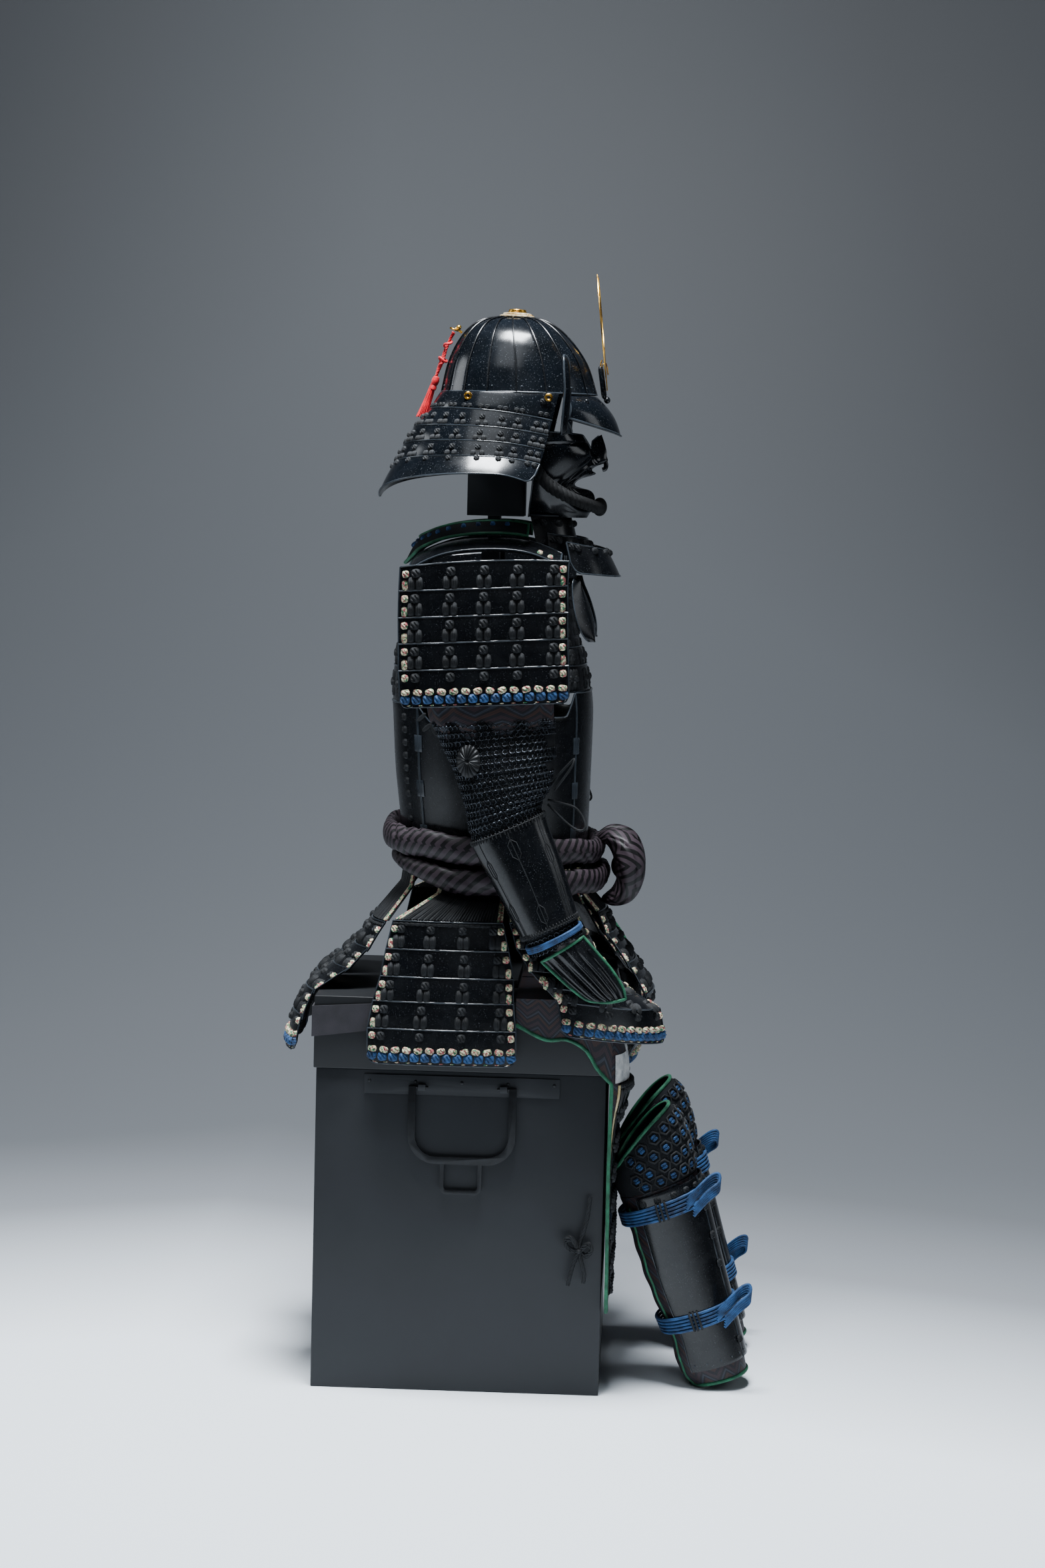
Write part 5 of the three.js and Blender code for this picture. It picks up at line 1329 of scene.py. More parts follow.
def mail_length(name, side, start, end):
    """Rings in staggered rows over a length of the sleeve, each row leaning against the next."""
    spots = []

    def sleeve_spot(along, angle, grow):
        return Vector(sleeve_at(along, angle, grow, side))

    outer = [[sleeve_spot(s + step, math.pi / 2, 0) for step in (0, 0.01)]
             for s in np.arange(start, end, 0.01)]
    rows = round(sum((b - a).length for a, b in outer) / (RING_PITCH * 0.86))
    for row in range(rows + 1):
        along = start + (end - start) * row / rows
        girth = path_length([sleeve_spot(along, a, 1.6) for a in np.linspace(0, 2 * math.pi, 25)]) / MM
        count = round(girth / RING_PITCH)
        for k in range(count):
            angle = 2 * math.pi * (k + 0.5 * (row % 2)) / count
            if mail_gap(along, angle):
                continue
            at = sleeve_spot(along, angle, 1.8)
            ahead = (sleeve_spot(along, angle + 0.03, 1.8) - at).normalized()
            down = (sleeve_spot(min(1, along + 0.006), angle, 1.8) - at).normalized()
            out = ahead.cross(down).normalized() * -side
            if out.y * side < 0 and math.sin(angle) > 0.5:
                out.negate()
            lean = 0.24 * (-1) ** row
            up = out.cross(ahead)
            tilted = up * math.cos(lean) + out * math.sin(lean)
            axes = (ahead, tilted, ahead.cross(tilted))
            spots.append(("ring", (at, *(axis * RING_RADIUS for axis in axes))))
    piece = repeated(name, spots)
    bpy.ops.object.shade_smooth()
    fit(piece, mail_iron)


def sleeve_cloth(side):
    """A sleeve from the shoulder down to the wrist, gathered into folds."""
    def where(across, down):
        angle = across * 2 * math.pi
        return sleeve_at(down, angle, sleeve_folds(down, angle), side)
    return where


DISC_WIDE, DISC_TALL, DISC_DEPTH, DISC_FLUTES, DISC_CENTRE = 36, 47, 9, 16, 0.14


def fluted_disc(name, spot):
    """The elbow's boss: a low dome of petals round a small sunk centre."""
    at, (along, up, out) = spot[0], (way.normalized() for way in spot[1:])

    def where(across, down):
        angle, r = across * 2 * math.pi, max(down, 0.002)
        swell = 0.72 if r < DISC_CENTRE else (1 - r * r) ** 0.6
        petal = abs(math.sin(angle * DISC_FLUTES / 2))
        flute = 0.13 * petal * min(1, 3 * r) * (r > DISC_CENTRE)
        edge = (1 + 0.05 * petal * r) * r / 2
        return tuple(at + along * DISC_WIDE * edge * math.cos(angle) + up * DISC_TALL * edge * math.sin(angle)
                     + out * DISC_DEPTH * (swell * 0.8 + flute))
    return shaped_grid(name, 96, 10, where, inside=tuple(at - out * 60))


for word, side in SIDES:
    cloth = walled(shaped_grid(f"sleeve_cloth_{word}", 84, 110, sleeve_cloth(side), closed=True), 2.4, 0, 60)
    fit(cloth, brocade, f"sleeve_{word}")
    grounds = []
    for start, end in ((0.27, 0.668), (0.883, 0.998)):
        ground = shaped_grid("ground", 60, 30, lambda a, d: sleeve_at(
            start + (end - start) * d, a * 2 * math.pi, 0.9, side), closed=True)
        grounds.append(walled(ground, 0.6))
    fit(joined(f"mail_ground_{word}", grounds), black_cloth)
    mail_length(f"sleeve_mail_{word}", side, 0.275, 0.665)
    mail_length(f"wrist_mail_{word}", side, 0.885, 0.995)
    elbow = spot_on(lambda a, d: sleeve_at(d, math.pi * (1 - a), 3.4, side), 0.30, 0.415, 34, 46, 6,
                    inside=(50, side * 200, 940))
    fit(walled(fluted_disc(f"elbow_disc_{word}", elbow), 1.2, 0, 40), black_iron)
    at, out = elbow[0], elbow[3]
    fit(rivets(f"elbow_rivet_{word}", [tuple(at + out.normalized() * 3)], tuple(out), 3, 0.5, 14),
        plate_lacquer)

# Forearm splints: four lacquered iron splints hinged side by side, with hexagonal hinge leaves.
SPLINT_FROM, SPLINT_TO = math.radians(-14), math.radians(194)
SPLINTS = 4
HEXAGON = ((0, -15), (8, -8), (8, 8), (0, 15), (-8, 8), (-8, -8))


def splint_face(side):
    """A point on the splints: each is crowned across its own width."""
    def where(across, down):
        angle = SPLINT_FROM + (SPLINT_TO - SPLINT_FROM) * across
        crown = 1.6 * math.sin(math.pi * ((across * SPLINTS) % 1)) ** 0.7
        return sleeve_at(0.675 + 0.21 * down, angle, 4.8 + crown, side)
    return where


for word, side in SIDES:
    face = splint_face(side)
    inside = (90, side * 225, 790)
    sheet = shaped_grid(f"splint_sheet_{word}", SPLINTS * 10, 30, face, inside=inside)
    fit(walled(sheet, 2.6, 0.4, 30), plate_lacquer, f"forearm_plates_{word}")
    joints = [k / SPLINTS + 1e-4 for k in range(1, SPLINTS)]
    ridges = [run_over(face, (at, 0.02, at, 0.98, 16)) for at in joints]
    ridges += [run_over(face, (0, d, 1, d, 40)) for d in (0, 1)]
    hexes = [[face(k / SPLINTS + dx / 300, down + dz / 150) for dx, dz in HEXAGON]
             for k, down in ((2, 0.2), (2, 0.82), (1, 0.35), (1, 0.7), (3, 0.3), (3, 0.72))]
    fit(rods(f"splint_ridges_{word}", ridges, 0.9, sides=6), black_silk)
    fit(rods(f"splint_hinges_{word}", hexes, 0.8, closed=True, sides=6), black_silk)
    ties = []
    for across in np.linspace(0.02, 0.98, 34):
        for down in (0.012, 0.988):
            ties += tie_row(face, "lobe", "black", [across], down, 2.6, 9, 2.2, inside=inside)
    lace(f"splint_stitches_{word}", ties)

# Hand guards: a hide plate over the back of the hand, fluted along the fingers, piped in green.
HAND = numbered(table(
    "rear_x rear_z front_x front_z out", (116, 655, 176, 694, 252), (138, 636, 194, 674, 255),
    (162, 616, 216, 650, 256), (184, 601, 235, 622, 254), (203, 598, 240, 604, 251)))


def hand_face(side):
    """The plate over the back of a hand."""
    def where(across, down):
        at = read(HAND, "step", down * (len(HAND) - 1))
        turn = across * 2 - 1
        full = math.sin(math.pi * min(1, down * 0.9 + 0.05)) ** 0.7
        flute = 5 * (1 - abs(math.cos(across * 6 * math.pi))) * full
        return (at["rear_x"] + (at["front_x"] - at["rear_x"]) * across,
                side * (at["out"] + 14 * (1 - turn * turn) + 2.5 + flute),
                at["rear_z"] + (at["front_z"] - at["rear_z"]) * across)
    return where


for word, side in SIDES:
    face = hand_face(side)
    inside = (175, side * 220, 640)
    fit(walled(shaped_grid(f"hand_plate_{word}", 40, 28, face, inside=inside), 2.4, 0.4), plate_lacquer,
        f"hand_guard_{word}")
    outline = run_over(face, (0, 0, 1, 0, 14), (1, 0.05, 1, 1, 16), (1, 1, 0, 1, 12), (0, 1, 0, 0.05, 16))
    fit(rods(f"hand_piping_{word}", [outline], 2.4, closed=True), green_silk)
    wraps = [[sleeve_at(along + 0.012 * math.sin(a), a, 5.0, side) for a in turn_round[::3]]
             for along in (0.925, 0.94, 0.955)]
    fit(rods(f"wrist_cord_{word}", wraps, 2.6, closed=True), blue_silk)

# Two thin black cord loops at each armhole, which tie the sleeve to the body armour.
ARM_LOOPS = ([(122, 910), (134, 928), (148, 944), (155, 951), (153, 942), (143, 926), (128, 905)],
             [(118, 890), (138, 886), (158, 880), (170, 866), (174, 851), (164, 847), (146, 858), (118, 884)])
for word, side in SIDES:
    for k, loop in enumerate(ARM_LOOPS):
        points = [(x, side * (222 + 5 * math.sin(i * math.pi / (len(loop) - 1)) + (2 if i > 3 else -2)), z)
                  for i, (x, z) in enumerate(loop)]
        run = smooth_path(points, 60)
        cord = rods(f"arm_loop_{word}_{k}", [run], 1.75)
        fit(cord, black_silk)
        in_metres(run[0])
        path_length(run)
        [in_metres(p) for p in run]

# ------------------------------------------------------------------------------ sash
# A long dark aubergine satin cloth, folded and twisted, wound twice round the waist and tied in a
# big soft bow at the front.
sash_satin, tree = new_material("aubergine_satin", "black_cloth")
weave_map = add_node(tree, "TexCoord").outputs["UV"]
dye = chevrons(tree, weave_map, 1, 0.034, 58.0, [(0.42, "#020203"), (0.48, "#332a30")])
twill = add_node(tree, "TexWave", {"bands_direction": "DIAGONAL"}, Vector=weave_map, Scale=220.0,
                 Distortion=0.5)
dent = add_node(tree, "Bump", Height=twill.outputs[1], Strength=0.15, Distance=0.0003)
satin = add_node(tree, "BsdfPrincipled", Base_Color=dye.outputs[0], Roughness=0.5, Specular_IOR_Level=0.3,
                 Normal=dent.outputs[0])
add_node(tree, "OutputMaterial", Surface=satin.outputs[0])

ROLLS = {
    "sash_upper": table("z rise depth out", (818, 23, 26, 2), (806, 23, 27, 2), (800, 19, 27, 2)),
    "sash_lower": table("z rise depth out", (785, 9, 13, 3), (760, 21, 27, 12), (758, 20, 25, 13)),
}


def roll_face(rolls, seed):
    """A point on a roll of the sash, from its sections at the rear, the side and the front."""
    rear, middle, front = rolls

    def where(across, down):
        around = (across * 2 - 1) * math.pi
        section = down * 2 * math.pi
        ahead = math.cos(around)
        towards = front if ahead > 0 else rear
        share = abs(ahead) ** 1.5
        at = {k: middle[k] + (towards[k] - middle[k]) * share for k in middle}
        # the twist's folds run slantwise round the roll, unevenly deep
        slant = 9 * around + section + 0.7 * math.sin(3 * around + seed)
        fold = 0.08 * math.sin(slant) - 0.2 * (1 - abs(math.sin(1.5 * slant))) ** 3
        fold += 0.035 * math.sin(5 * slant + 1.3 * math.sin(4 * around + seed))
        body = 0.93 + fold * (0.65 + 0.35 * math.sin(7 * around + seed))
        lift, swell = math.sin(section) * body, math.cos(section) * body
        wide = read(CUIRASS, "z", at["z"] + at["rise"])
        grow = at["out"] + at["depth"] / 2 * (1 + swell)
        wave = 1.6 * math.sin(5 * around + seed)
        return oval(dict(z=at["z"] + lift * at["rise"] + wave, rear=wide["rear"], front=wide["front"],
                         half=wide["half"]), around, 0.82, grow)
    return where


for seed, (name, rolls) in enumerate(ROLLS.items()):
    face = roll_face(rolls, seed)
    roll = walled(shaped_grid(f"{name}_cloth", 220, 26, face, closed=True), 1.3, 0, 60)
    fit(roll, sash_satin, name)
    flat = [path_length(run_over(face, leg)) for leg in ((0, 0.25, 1, 0.25, 200), (0.25, 0, 0.25, 1, 200))]


BOW = numbered(table(
    "x z thick wide", (188, 812, 5, 9), (207, 818, 13, 24), (228, 807, 22, 32), (239, 786, 24, 34),
    (240, 761, 24, 33), (232, 739, 21, 30), (215, 725, 12, 24), (200, 722, 5, 10)))


def bow_loop(way):
    """One soft loop of the bow, from over the knot round to below it, creased toward its ends."""
    def where(across, down):
        at = read(BOW, "step", down * (len(BOW) - 1))
        round_it = across * 2 * math.pi
        crease = 1 - 0.16 * (1 - abs(math.sin(2.5 * round_it + way + 3 * down))) ** 3
        crease += 0.05 * math.sin(5 * round_it + 9 * down + way)
        heading = math.pi * (0.62 - 1.3 * down)
        out = at["thick"] * crease * math.cos(round_it)
        aside = at["wide"] * crease * math.sin(round_it)
        spread = 37 * max(0, math.sin(math.pi * down)) ** 0.5
        return (at["x"] + out * math.cos(heading), way * (4 + spread + aside),
                at["z"] + out * math.sin(heading))
    return shaped_grid(f"bow_loop{way}", 48, 44, where, closed=True)


def bow_knot(across, down):
    """A point on the bow's knot, a creased ball."""
    round_it, high = across * 2 * math.pi, (0.5 - down) * math.pi
    full = math.cos(high) * (1 - 0.2 * (1 - abs(math.sin(2.5 * round_it + high))) ** 3)
    return 236 + 25 * full * math.cos(round_it), 17 * full * math.sin(round_it), 771 + 24 * math.sin(high)


lobes = [bow_loop(1), bow_loop(-1), shaped_grid("bow_knot", 40, 24, bow_knot, closed=True)]
bow = walled(joined("sash_bow_cloth", lobes), 1.3, 0, 60)
fit(bow, sash_satin, "sash_bow")

# ------------------------------------------------------------------------------ tassets
# Seven hanging skirts of five laced lames each, on close-set black cords from the cuirass. Their
# edges have flecked cords, and their feet a flecked and a blue row of knots, as on the shoulders.
HANG = 774.6
TASSET_SIDE = table(
    "z x0 y0 x1 y1 bow drop", (HANG, -36, -146, 54, -146, 3, 0), (738, -46, -151, 55, -151, 4, 0),
    (704, -106, -209, 56, -209, 8, 0), (663, -115, -217, 66, -217, 9, 0), (623, -122, -224, 74, -224, 9, 0),
    (587, -132, -230, 75, -230, 9, 0), (547, -139, -235, 80, -235, 9, 0), (495, -138, -238, 81, -238, 9, 0))
TASSET_FRONT_SIDE = table(
    "z x0 y0 x1 y1 bow drop", (HANG, 60, -144, 144, -82, 15, 0), (738, 61, -149, 148, -85, 16, 0),
    (704, 66, -203, 170, -104, 20, 8), (668, 78, -213, 195, -114, 22, 14),
    (637, 98, -222, 222, -122, 28, 18), (615, 120, -229, 254, -138, 50, 20),
    (595, 140, -234, 291, -146, 46, 20), (544, 150, -240, 301, -148, 38, 20))
# the left one ends a little shorter than the right one
TASSET_FRONT_LEFT = []
for r in TASSET_FRONT_SIDE:
    pull = min(1, max(0, (630 - r["z"]) / 35))
    TASSET_FRONT_LEFT.append(dict(r, x1=r["x1"] - 34 * pull, y1=r["y1"] - 20 * pull, bow=r["bow"] - 2 * pull))
TASSET_REAR = table(
    "z x0 y0 x1 y1 bow drop", (HANG, -82, -97, -104, -6, 5, 0), (742, -88, -101, -109, -6, 5, 0),
    (690, -124, -128, -140, -7, 16, 0), (652, -148, -142, -162, -8, 18, 0),
    (622, -176, -154, -192, -9, 20, 0), (590, -226, -164, -228, -10, 17, 0),
    (554, -242, -174, -246, -11, 18, 0), (500, -254, -182, -258, -12, 18, 0))
TASSET_FRONT = table(
    "z x0 y0 x1 y1 bow drop", (HANG, 162, -66, 162, 66, 8, 0), (740, 167, -68, 167, 68, 8, 0),
    (708, 194, -72, 194, 72, 11, 0), (675, 209, -76, 209, 76, 11, 0), (632, 242, -80, 242, 80, 11, 0),
    (585, 271, -84, 271, 84, 11, 0), (525, 262, -88, 262, 88, 11, 0), (474, 240, -90, 240, 90, 11, 0))


def tasset_face(rows, side):
    """A point on a tasset: its rows hang outward from the body, each bowed between its corners."""
    rows = numbered(rows)

    def where(across, place, grow):
        at = read(rows, "step", place, soft=False)
        chord = Vector((at["x1"] - at["x0"], at["y1"] - at["y0"]))
        out = Vector((chord.y, -chord.x)).normalized()
        if out.x * ((at["x0"] + at["x1"]) / 2 - ARMOUR_AXIS) + out.y * (at["y0"] + at["y1"]) / 2 < 0:
            out.negate()
        turn = across * 2 - 1
        move = at["bow"] * (1 - turn * turn) + grow - LEDGE
        y = at["y0"] + chord.y * across + out.y * move
        return at["x0"] + chord.x * across + out.x * move, -side * y, at["z"] - at["drop"] * across
    return where


def tasset(name, rows, side, node, pairs=14):
    """One tasset: its first three rows are the cords' run, and its lames start at the third."""
    foot = rows[-1]
    inside = (20, 0, 620) if abs(foot["y0"]) < 200 or foot["x0"] > 100 else None
    plates, rims, faces = lames(f"{name}_lames", rows[2:], tasset_face(rows[2:], side), columns=26, corner=14,
                                inside=inside)
    fit(plates, plate_lacquer, node)
    fit(rims, rim_lacquer)
    lame_ends(f"{name}_ends", faces)
    width = math.hypot(foot["x1"] - foot["x0"], foot["y1"] - foot["y0"])
    heights = [abs(b["z"] - a["z"]) for a, b in zip(rows[2:], rows[3:])]
    ties = spaced_lacing(faces, width, (0.09, 0.353, 0.635, 0.90), (0.032, 0.968), heights, pairs, knot=13)
    ties += tie_row(faces[0], "lobe", "black", np.linspace(0.03, 0.97, 20), 0.10, width / 22, 5, 3)
    lace(f"{name}_knots", ties)
    # the close-set cords between the cuirass's lower edge and the first lame
    top = tasset_face(rows[:3], side)
    count = max(18, round(width / 6.2))
    black, edge = [], []
    for k in range(count):
        across = (k + 0.5) / count
        sway = random.uniform(-0.5, 0.5)
        path = [Vector(top(across, p, 1.2)) + Vector((sway * math.sin(3 * p), 0, 0))
                for p in np.linspace(0, 1.97, 9)]
        (edge if min(k, count - 1 - k) < 2 else black).append(path)
    fit(rods(f"{name}_cords", black, 1.9, sides=6), black_silk)
    fit(rods(f"{name}_edge_cords", edge, 2.0, sides=6), flecked_silk)
    # a black sheet behind the cords: painted shade, for the dark inside of the armour seen between them
    shade_sheet = shaped_grid(f"{name}_backing", 20, 10, lambda a, d: top(a, 1.96 * d, -1.4), inside=inside)
    fit(walled(shade_sheet, 1.0), black_silk)


tasset("skirt_front", TASSET_FRONT, -1, "tasset_front", 12)
for word, side in SIDES:
    tasset(f"skirt_side_{word}", TASSET_SIDE, side, f"tasset_side_{word}")
    tasset(f"skirt_rear_{word}", TASSET_REAR, side, f"tasset_rear_{word}", 11)
    tasset(f"skirt_front_{word}", TASSET_FRONT_SIDE if side < 0 else TASSET_FRONT_LEFT, side,
           f"tasset_front_{word}", 13)

# ------------------------------------------------------------------------------ thigh guard
# An apron of figured silk in two halves over the lid: it drops down the front under rows of
# lacquered scales, and has a short flap on the lid's side. Its free edge is piped in green silk.
cream_silk = silk("cream_gold_silk", "brocade", "#a08a52", "#e2d6b2", rough=0.45)
silver_silk = silk("silver_white_silk", "brocade", "#74777b", "#c6c5c1", rough=0.45)
THIGH = table("z x bulge", (592.5, 222.6, 0), (560, 222.8, 8), (505, 223, 22), (457, 223, 23),
              (406, 222.5, 8), (330, 222, 2), (185, 222, 2), (129, 222, 2))
FLAP = table("x z", (79, 554), (125, 533), (157, 534), (186, 517), (200, 493), (222.4, 470))
CHEST_SIDE, LID_TOP = 222.6, 592.8
THIGH_IN, THIGH_OUT = 6, 222.4
THIGH_TOP, THIGH_DROP, THIGH_REAR = 592, 463, 79


def thigh_front(side):
    """The front drop: across runs from its middle edge outward, down from the lid to the hem."""
    def where(across, down):
        z = THIGH_TOP - THIGH_DROP * down
        at = read(THIGH, "z", z)
        # it stands away from the chest over its outer two thirds, clear of the front skirt
        swell = at["bulge"] * max(0, math.sin(math.pi * max(0, across - 0.33) / 0.67)) ** 0.6
        sway = 1.2 * math.sin(9 * across + 5 * down) * down
        return at["x"] + swell + sway, side * (THIGH_IN + (THIGH_OUT - THIGH_IN) * across), z
    return where


def on_front(side, a0, a1, z0, z1, proud):
    """A strip that lies on the front drop, proud of it."""
    face = thigh_front(side)

    def where(across, down):
        x, y, z = face(a0 + (a1 - a0) * across, (THIGH_TOP - z0 - (z1 - z0) * down) / THIGH_DROP)
        return x + proud, y, z
    return where


def thigh_lid(side):
    """The lid's stretch of the cloth, which runs forward and turns down over the edge."""
    def where(across, down):
        x, z = THIGH_REAR + 140 * down, LID_TOP + 1.9
        if down > 0.93:
            turn = (down - 0.93) / 0.07 * math.pi / 2
            x, z = 209.2 + 13.2 * math.sin(turn), LID_TOP + 1.9 - 4 * (1 - math.cos(turn))
        return x, side * (THIGH_IN + (THIGH_OUT - THIGH_IN) * across), z
    return where


def thigh_flap(side):
    """The short flap on the lid's side."""
    def where(across, down):
        x = THIGH_REAR + 143.4 * across
        return x, side * (THIGH_OUT - 0.2), LID_TOP + 1.4 + (read(FLAP, "x", x)["z"] - LID_TOP) * down
    return where


def thigh_tie(side):
    """A black tie that hangs from the outer edge and is knotted in a bow beside the chest.

    Each run has its places' x, how far they stand off the chest, and z."""
    runs = [[(196, 0, 300), (192, 2, 268), (184, 3, 238), (181, 4, 222)],
            [(181, 4, 222), (170, 9, 240), (160, 8, 236), (166, 5, 224), (181, 4, 220)],
            [(181, 4, 220), (194, 8, 232), (200, 7, 224), (192, 4, 214), (181, 4, 218)],
            [(180, 5, 218), (173, 5, 200), (168, 4, 180), (166, 3, 170)],
            [(182, 5, 218), (186, 6, 202), (190, 5, 186), (189, 3, 174)]]
    tape = []
    for i, run in enumerate(runs):
        for shift in (-1.6, 1.6):
            path = [(x, side * (CHEST_SIDE + off + shift * 0.2), z + shift) for x, off, z in run]
            tape.append(braid(f"tie{i}", path, 3.0, strands=3, steps=40))
    return tape


BAND_TOP_Z, BAND_FOOT_Z, SCALES_FOOT = 514, 472, 150
SCALES_TOP, SCALES_DROP, SCALE_ROWS, SCALE_COLUMNS = 468, 318, 7, 9
for word, side in SIDES:
    front, flap = thigh_front(side), thigh_flap(side)
    parts = [shaped_grid(f"thigh_front_{word}", 30, 60, front, inside=(0, 0, 380)),
             shaped_grid(f"thigh_lid_{word}", 16, 24, thigh_lid(side), inside=(150, side * 110, 300)),
             shaped_grid(f"thigh_side_{word}", 24, 10, flap, inside=(150, 0, 550))]
    cloth = walled(joined(f"thigh_cloth_{word}", parts), 1.6, 0, 60)
    fit(cloth, brocade, f"thigh_panel_{word}")
    piping = run_over(flap, (0, 1, 1, 1, 20)) + run_over(front, (1, 0.28, 1, 1, 30), (0.94, 1, 0, 1, 12))
    fit(rods(f"thigh_piping_{word}", [piping], 2.9), green_silk)
    across_it = on_front(side, 0.02, 0.985, BAND_TOP_Z, BAND_FOOT_Z, 1.0)
    down_it = on_front(side, 0.62, 0.78, 590, BAND_TOP_Z, 1.3)
    bands = [shaped_grid(f"band_across_{word}", 30, 6, across_it, inside=(0, 0, 520)),
             shaped_grid(f"band_down_{word}", 6, 14, down_it, inside=(0, 0, 520))]
    fit(walled(joined(f"thigh_bands_{word}", bands), 0.8), silver_silk)
    ground = on_front(side, 0.05, 0.955, SCALES_TOP, SCALES_FOOT, 1.1)
    fit(walled(shaped_grid(f"strip_ground_{word}", 40, 50, ground, inside=(0, 0, 330)), 0.8), cream_silk)
    plates, ties = [], []
    pitch = SCALES_DROP / SCALE_ROWS
    for r in range(SCALE_ROWS):
        top = SCALES_TOP - r * pitch
        inside = (0, 0, top - 20)
        for c in range(SCALE_COLUMNS):
            a0, a1 = (0.06 + 0.885 * edge / SCALE_COLUMNS for edge in (c, c + 0.86))
            slab = on_front(side, a0, a1, top - 3, top - pitch + 1, 3.2)

            def bowed(across, down):
                x, y, z = slab(across, down)
                return x + 2.2 * (1 - (2 * across - 1) ** 2), y, z

            plates.append(shaped_grid(f"scale_{word}_{r}_{c}", 6, 6, bowed, inside=inside))
            for d in (0.1, 0.86):
                ties += tie_row(bowed, "knot", "black", [0.5], d, 13, 11, 5, inside=inside)
        rail = on_front(side, 0.05, 0.955, top, top - 1, 4.4)
        ties += tie_row(rail, "lobe", "black", (np.arange(34) + 0.5) / 34, 0.5, 7, 8, 5, inside=inside)
    fit(walled(joined(f"thigh_scales_{word}", plates), 1.6, 0.3), plate_lacquer)
    lace(f"thigh_knots_{word}", ties)
    fit(joined(f"thigh_tie_{word}", thigh_tie(side)), black_silk)
    knot = ((181, side * (CHEST_SIDE + 7), 221), (9, 0, 0), (0, 0, 7), (0, side * 6, 0))
    lace(f"thigh_tie_knot_{word}", [("stud", "black", tuple(Vector(v) for v in knot))])

# The apron's waist band: a matte grey-purple cloth carried round the rear of the lid.
BELT = numbered(table(
    "x y low high", (77, -1, 553, 587.5), (-137, -1, 540, 581), (-220.8, -1, 530, 574), (-220.8, 0, 530, 574),
    (-220.8, 1, 530, 574), (-137, 1, 540, 581), (77, 1, 553, 587.5)))
belt_cloth, tree = new_material("grey_purple_cloth", "black_cloth")
place = add_node(tree, "TexCoord").outputs["Object"]
fade = add_node(tree, "TexNoise", Vector=place, Scale=40.0, Detail=5.0)
shade = add_node(tree, "ValToRGB", {"stops": [(0.3, "#141217"), (0.8, "#252229")]}, Fac=fade.outputs[0])
nap = add_node(tree, "TexNoise", Vector=place, Scale=900.0, Detail=2.0)
dent = add_node(tree, "Bump", Height=nap.outputs[0], Strength=0.3, Distance=0.0004)
cotton = add_node(tree, "BsdfPrincipled", Base_Color=shade.outputs[0], Roughness=0.85, Normal=dent.outputs[0],
                  Sheen_Weight=0.1)
add_node(tree, "OutputMaterial", Surface=cotton.outputs[0])


def belt_face(across, down):
    """A point on the waist band, round three sides of the lid."""
    at = read(BELT, "step", across * (len(BELT) - 1), soft=False)
    wave = 1.5 * math.sin(14 * across) * (down - 0.5)
    behind = 1.6 if at["x"] < -200 else 0
    return at["x"] - behind, at["y"] * CHEST_SIDE, at["high"] + (at["low"] - at["high"]) * down + wave


belt = walled(shaped_grid("thigh_belt_cloth", 240, 8, belt_face, inside=(0, 0, 560)), 1.4, 0, 60)
fit(belt, belt_cloth, "thigh_belt")

# ------------------------------------------------------------------------------ shin guards
# Each is a tube of quilted figured silk under three lacquered splints, with a padded knee guard
# sewn with hexagons above. It leans back on its heel, with two blue ties bound round it.
SHIN = table(
    "along rear front half slant crown", (14, -46, 42, 50, 0, 0), (36, -58, 43, 54, 0, 0),
    (91, -60, 43, 56, 0, 0), (186, -73, 43, 58, 0, 0), (262, -77, 44, 59, 0, 0), (322, -79, 44, 60, 0.1, 0))
KNEE = table(
    "along rear front half slant crown", (322.6, -79, 44, 60, 0.1, 0), (345, -81, 46, 62, 0.25, 0),
    (378, -81, 42, 62, 0.55, 5), (396, -79, 28, 58, 0.74, 9))
LEAN = math.radians(16)
UP_SHIN = Vector((-math.sin(LEAN), 0, math.cos(LEAN)))
AHEAD_OF_SHIN = Vector((math.cos(LEAN), 0, math.sin(LEAN)))
HEEL, SHIN_APART = {-1: 402, 1: 405}, 112
QUILT_TOP, QUILT_TALL, SPLINT_TOP, SPLINT_TALL, KNEE_TOP, KNEE_TALL = 322, 308, 318, 280, 396, 73
TIES = (290, 116)


def shin_at(rows, along, angle, grow, way):
    """A point round a shin guard, so far up from its heel. Angle 0 faces forward."""
    at = read(rows, "along", along)
    middle = (at["front"] + at["rear"]) / 2
    x = middle + ((at["front"] - at["rear"]) / 2 + grow) * power(math.cos(angle), 0.9)
    y = (at["half"] + grow) * power(math.sin(angle), 0.9)
    along = at["along"] + at["slant"] * (x - middle) + at["crown"] * math.sin(angle) ** 2
    return (HEEL[way] - along * math.sin(LEAN) + x * math.cos(LEAN), way * (SHIN_APART - y),
            along * math.cos(LEAN) + x * math.sin(LEAN))


def shin_cloth(way):
    """A point on the quilted tube, drawn in under its two ties and creased down the calf."""
    def where(across, down):
        along, angle = QUILT_TOP - QUILT_TALL * down, across * 2 * math.pi
        pull = sum(-1.6 * hump(along - tie, 12) for tie in TIES)
        crease = 0.8 * math.sin(along / 7 + 2 * math.sin(3 * angle)) * (abs(math.cos(angle / 2)) < 0.5)
        return shin_at(SHIN, along, angle, pull + crease - 0.6, way)
    return where


def knee_face(way):
    """A point on the knee guard, a little puffed."""
    def where(across, down):
        angle = across * 2 * math.pi
        puff = 1.0 * math.sin(math.pi * down) - 0.6
        return shin_at(KNEE, KNEE_TOP - KNEE_TALL * down, angle, puff, way)
    return where


def splint_plate(way, start, end):
    """A splint between two angles in degrees, crowned across its width."""
    def where(across, down):
        angle = math.radians(start + (end - start) * across)
        crown = 1.2 * math.sin(math.pi * across)
        return shin_at(SHIN, SPLINT_TOP - SPLINT_TALL * down, angle, 4.4 + crown, way)
    return where


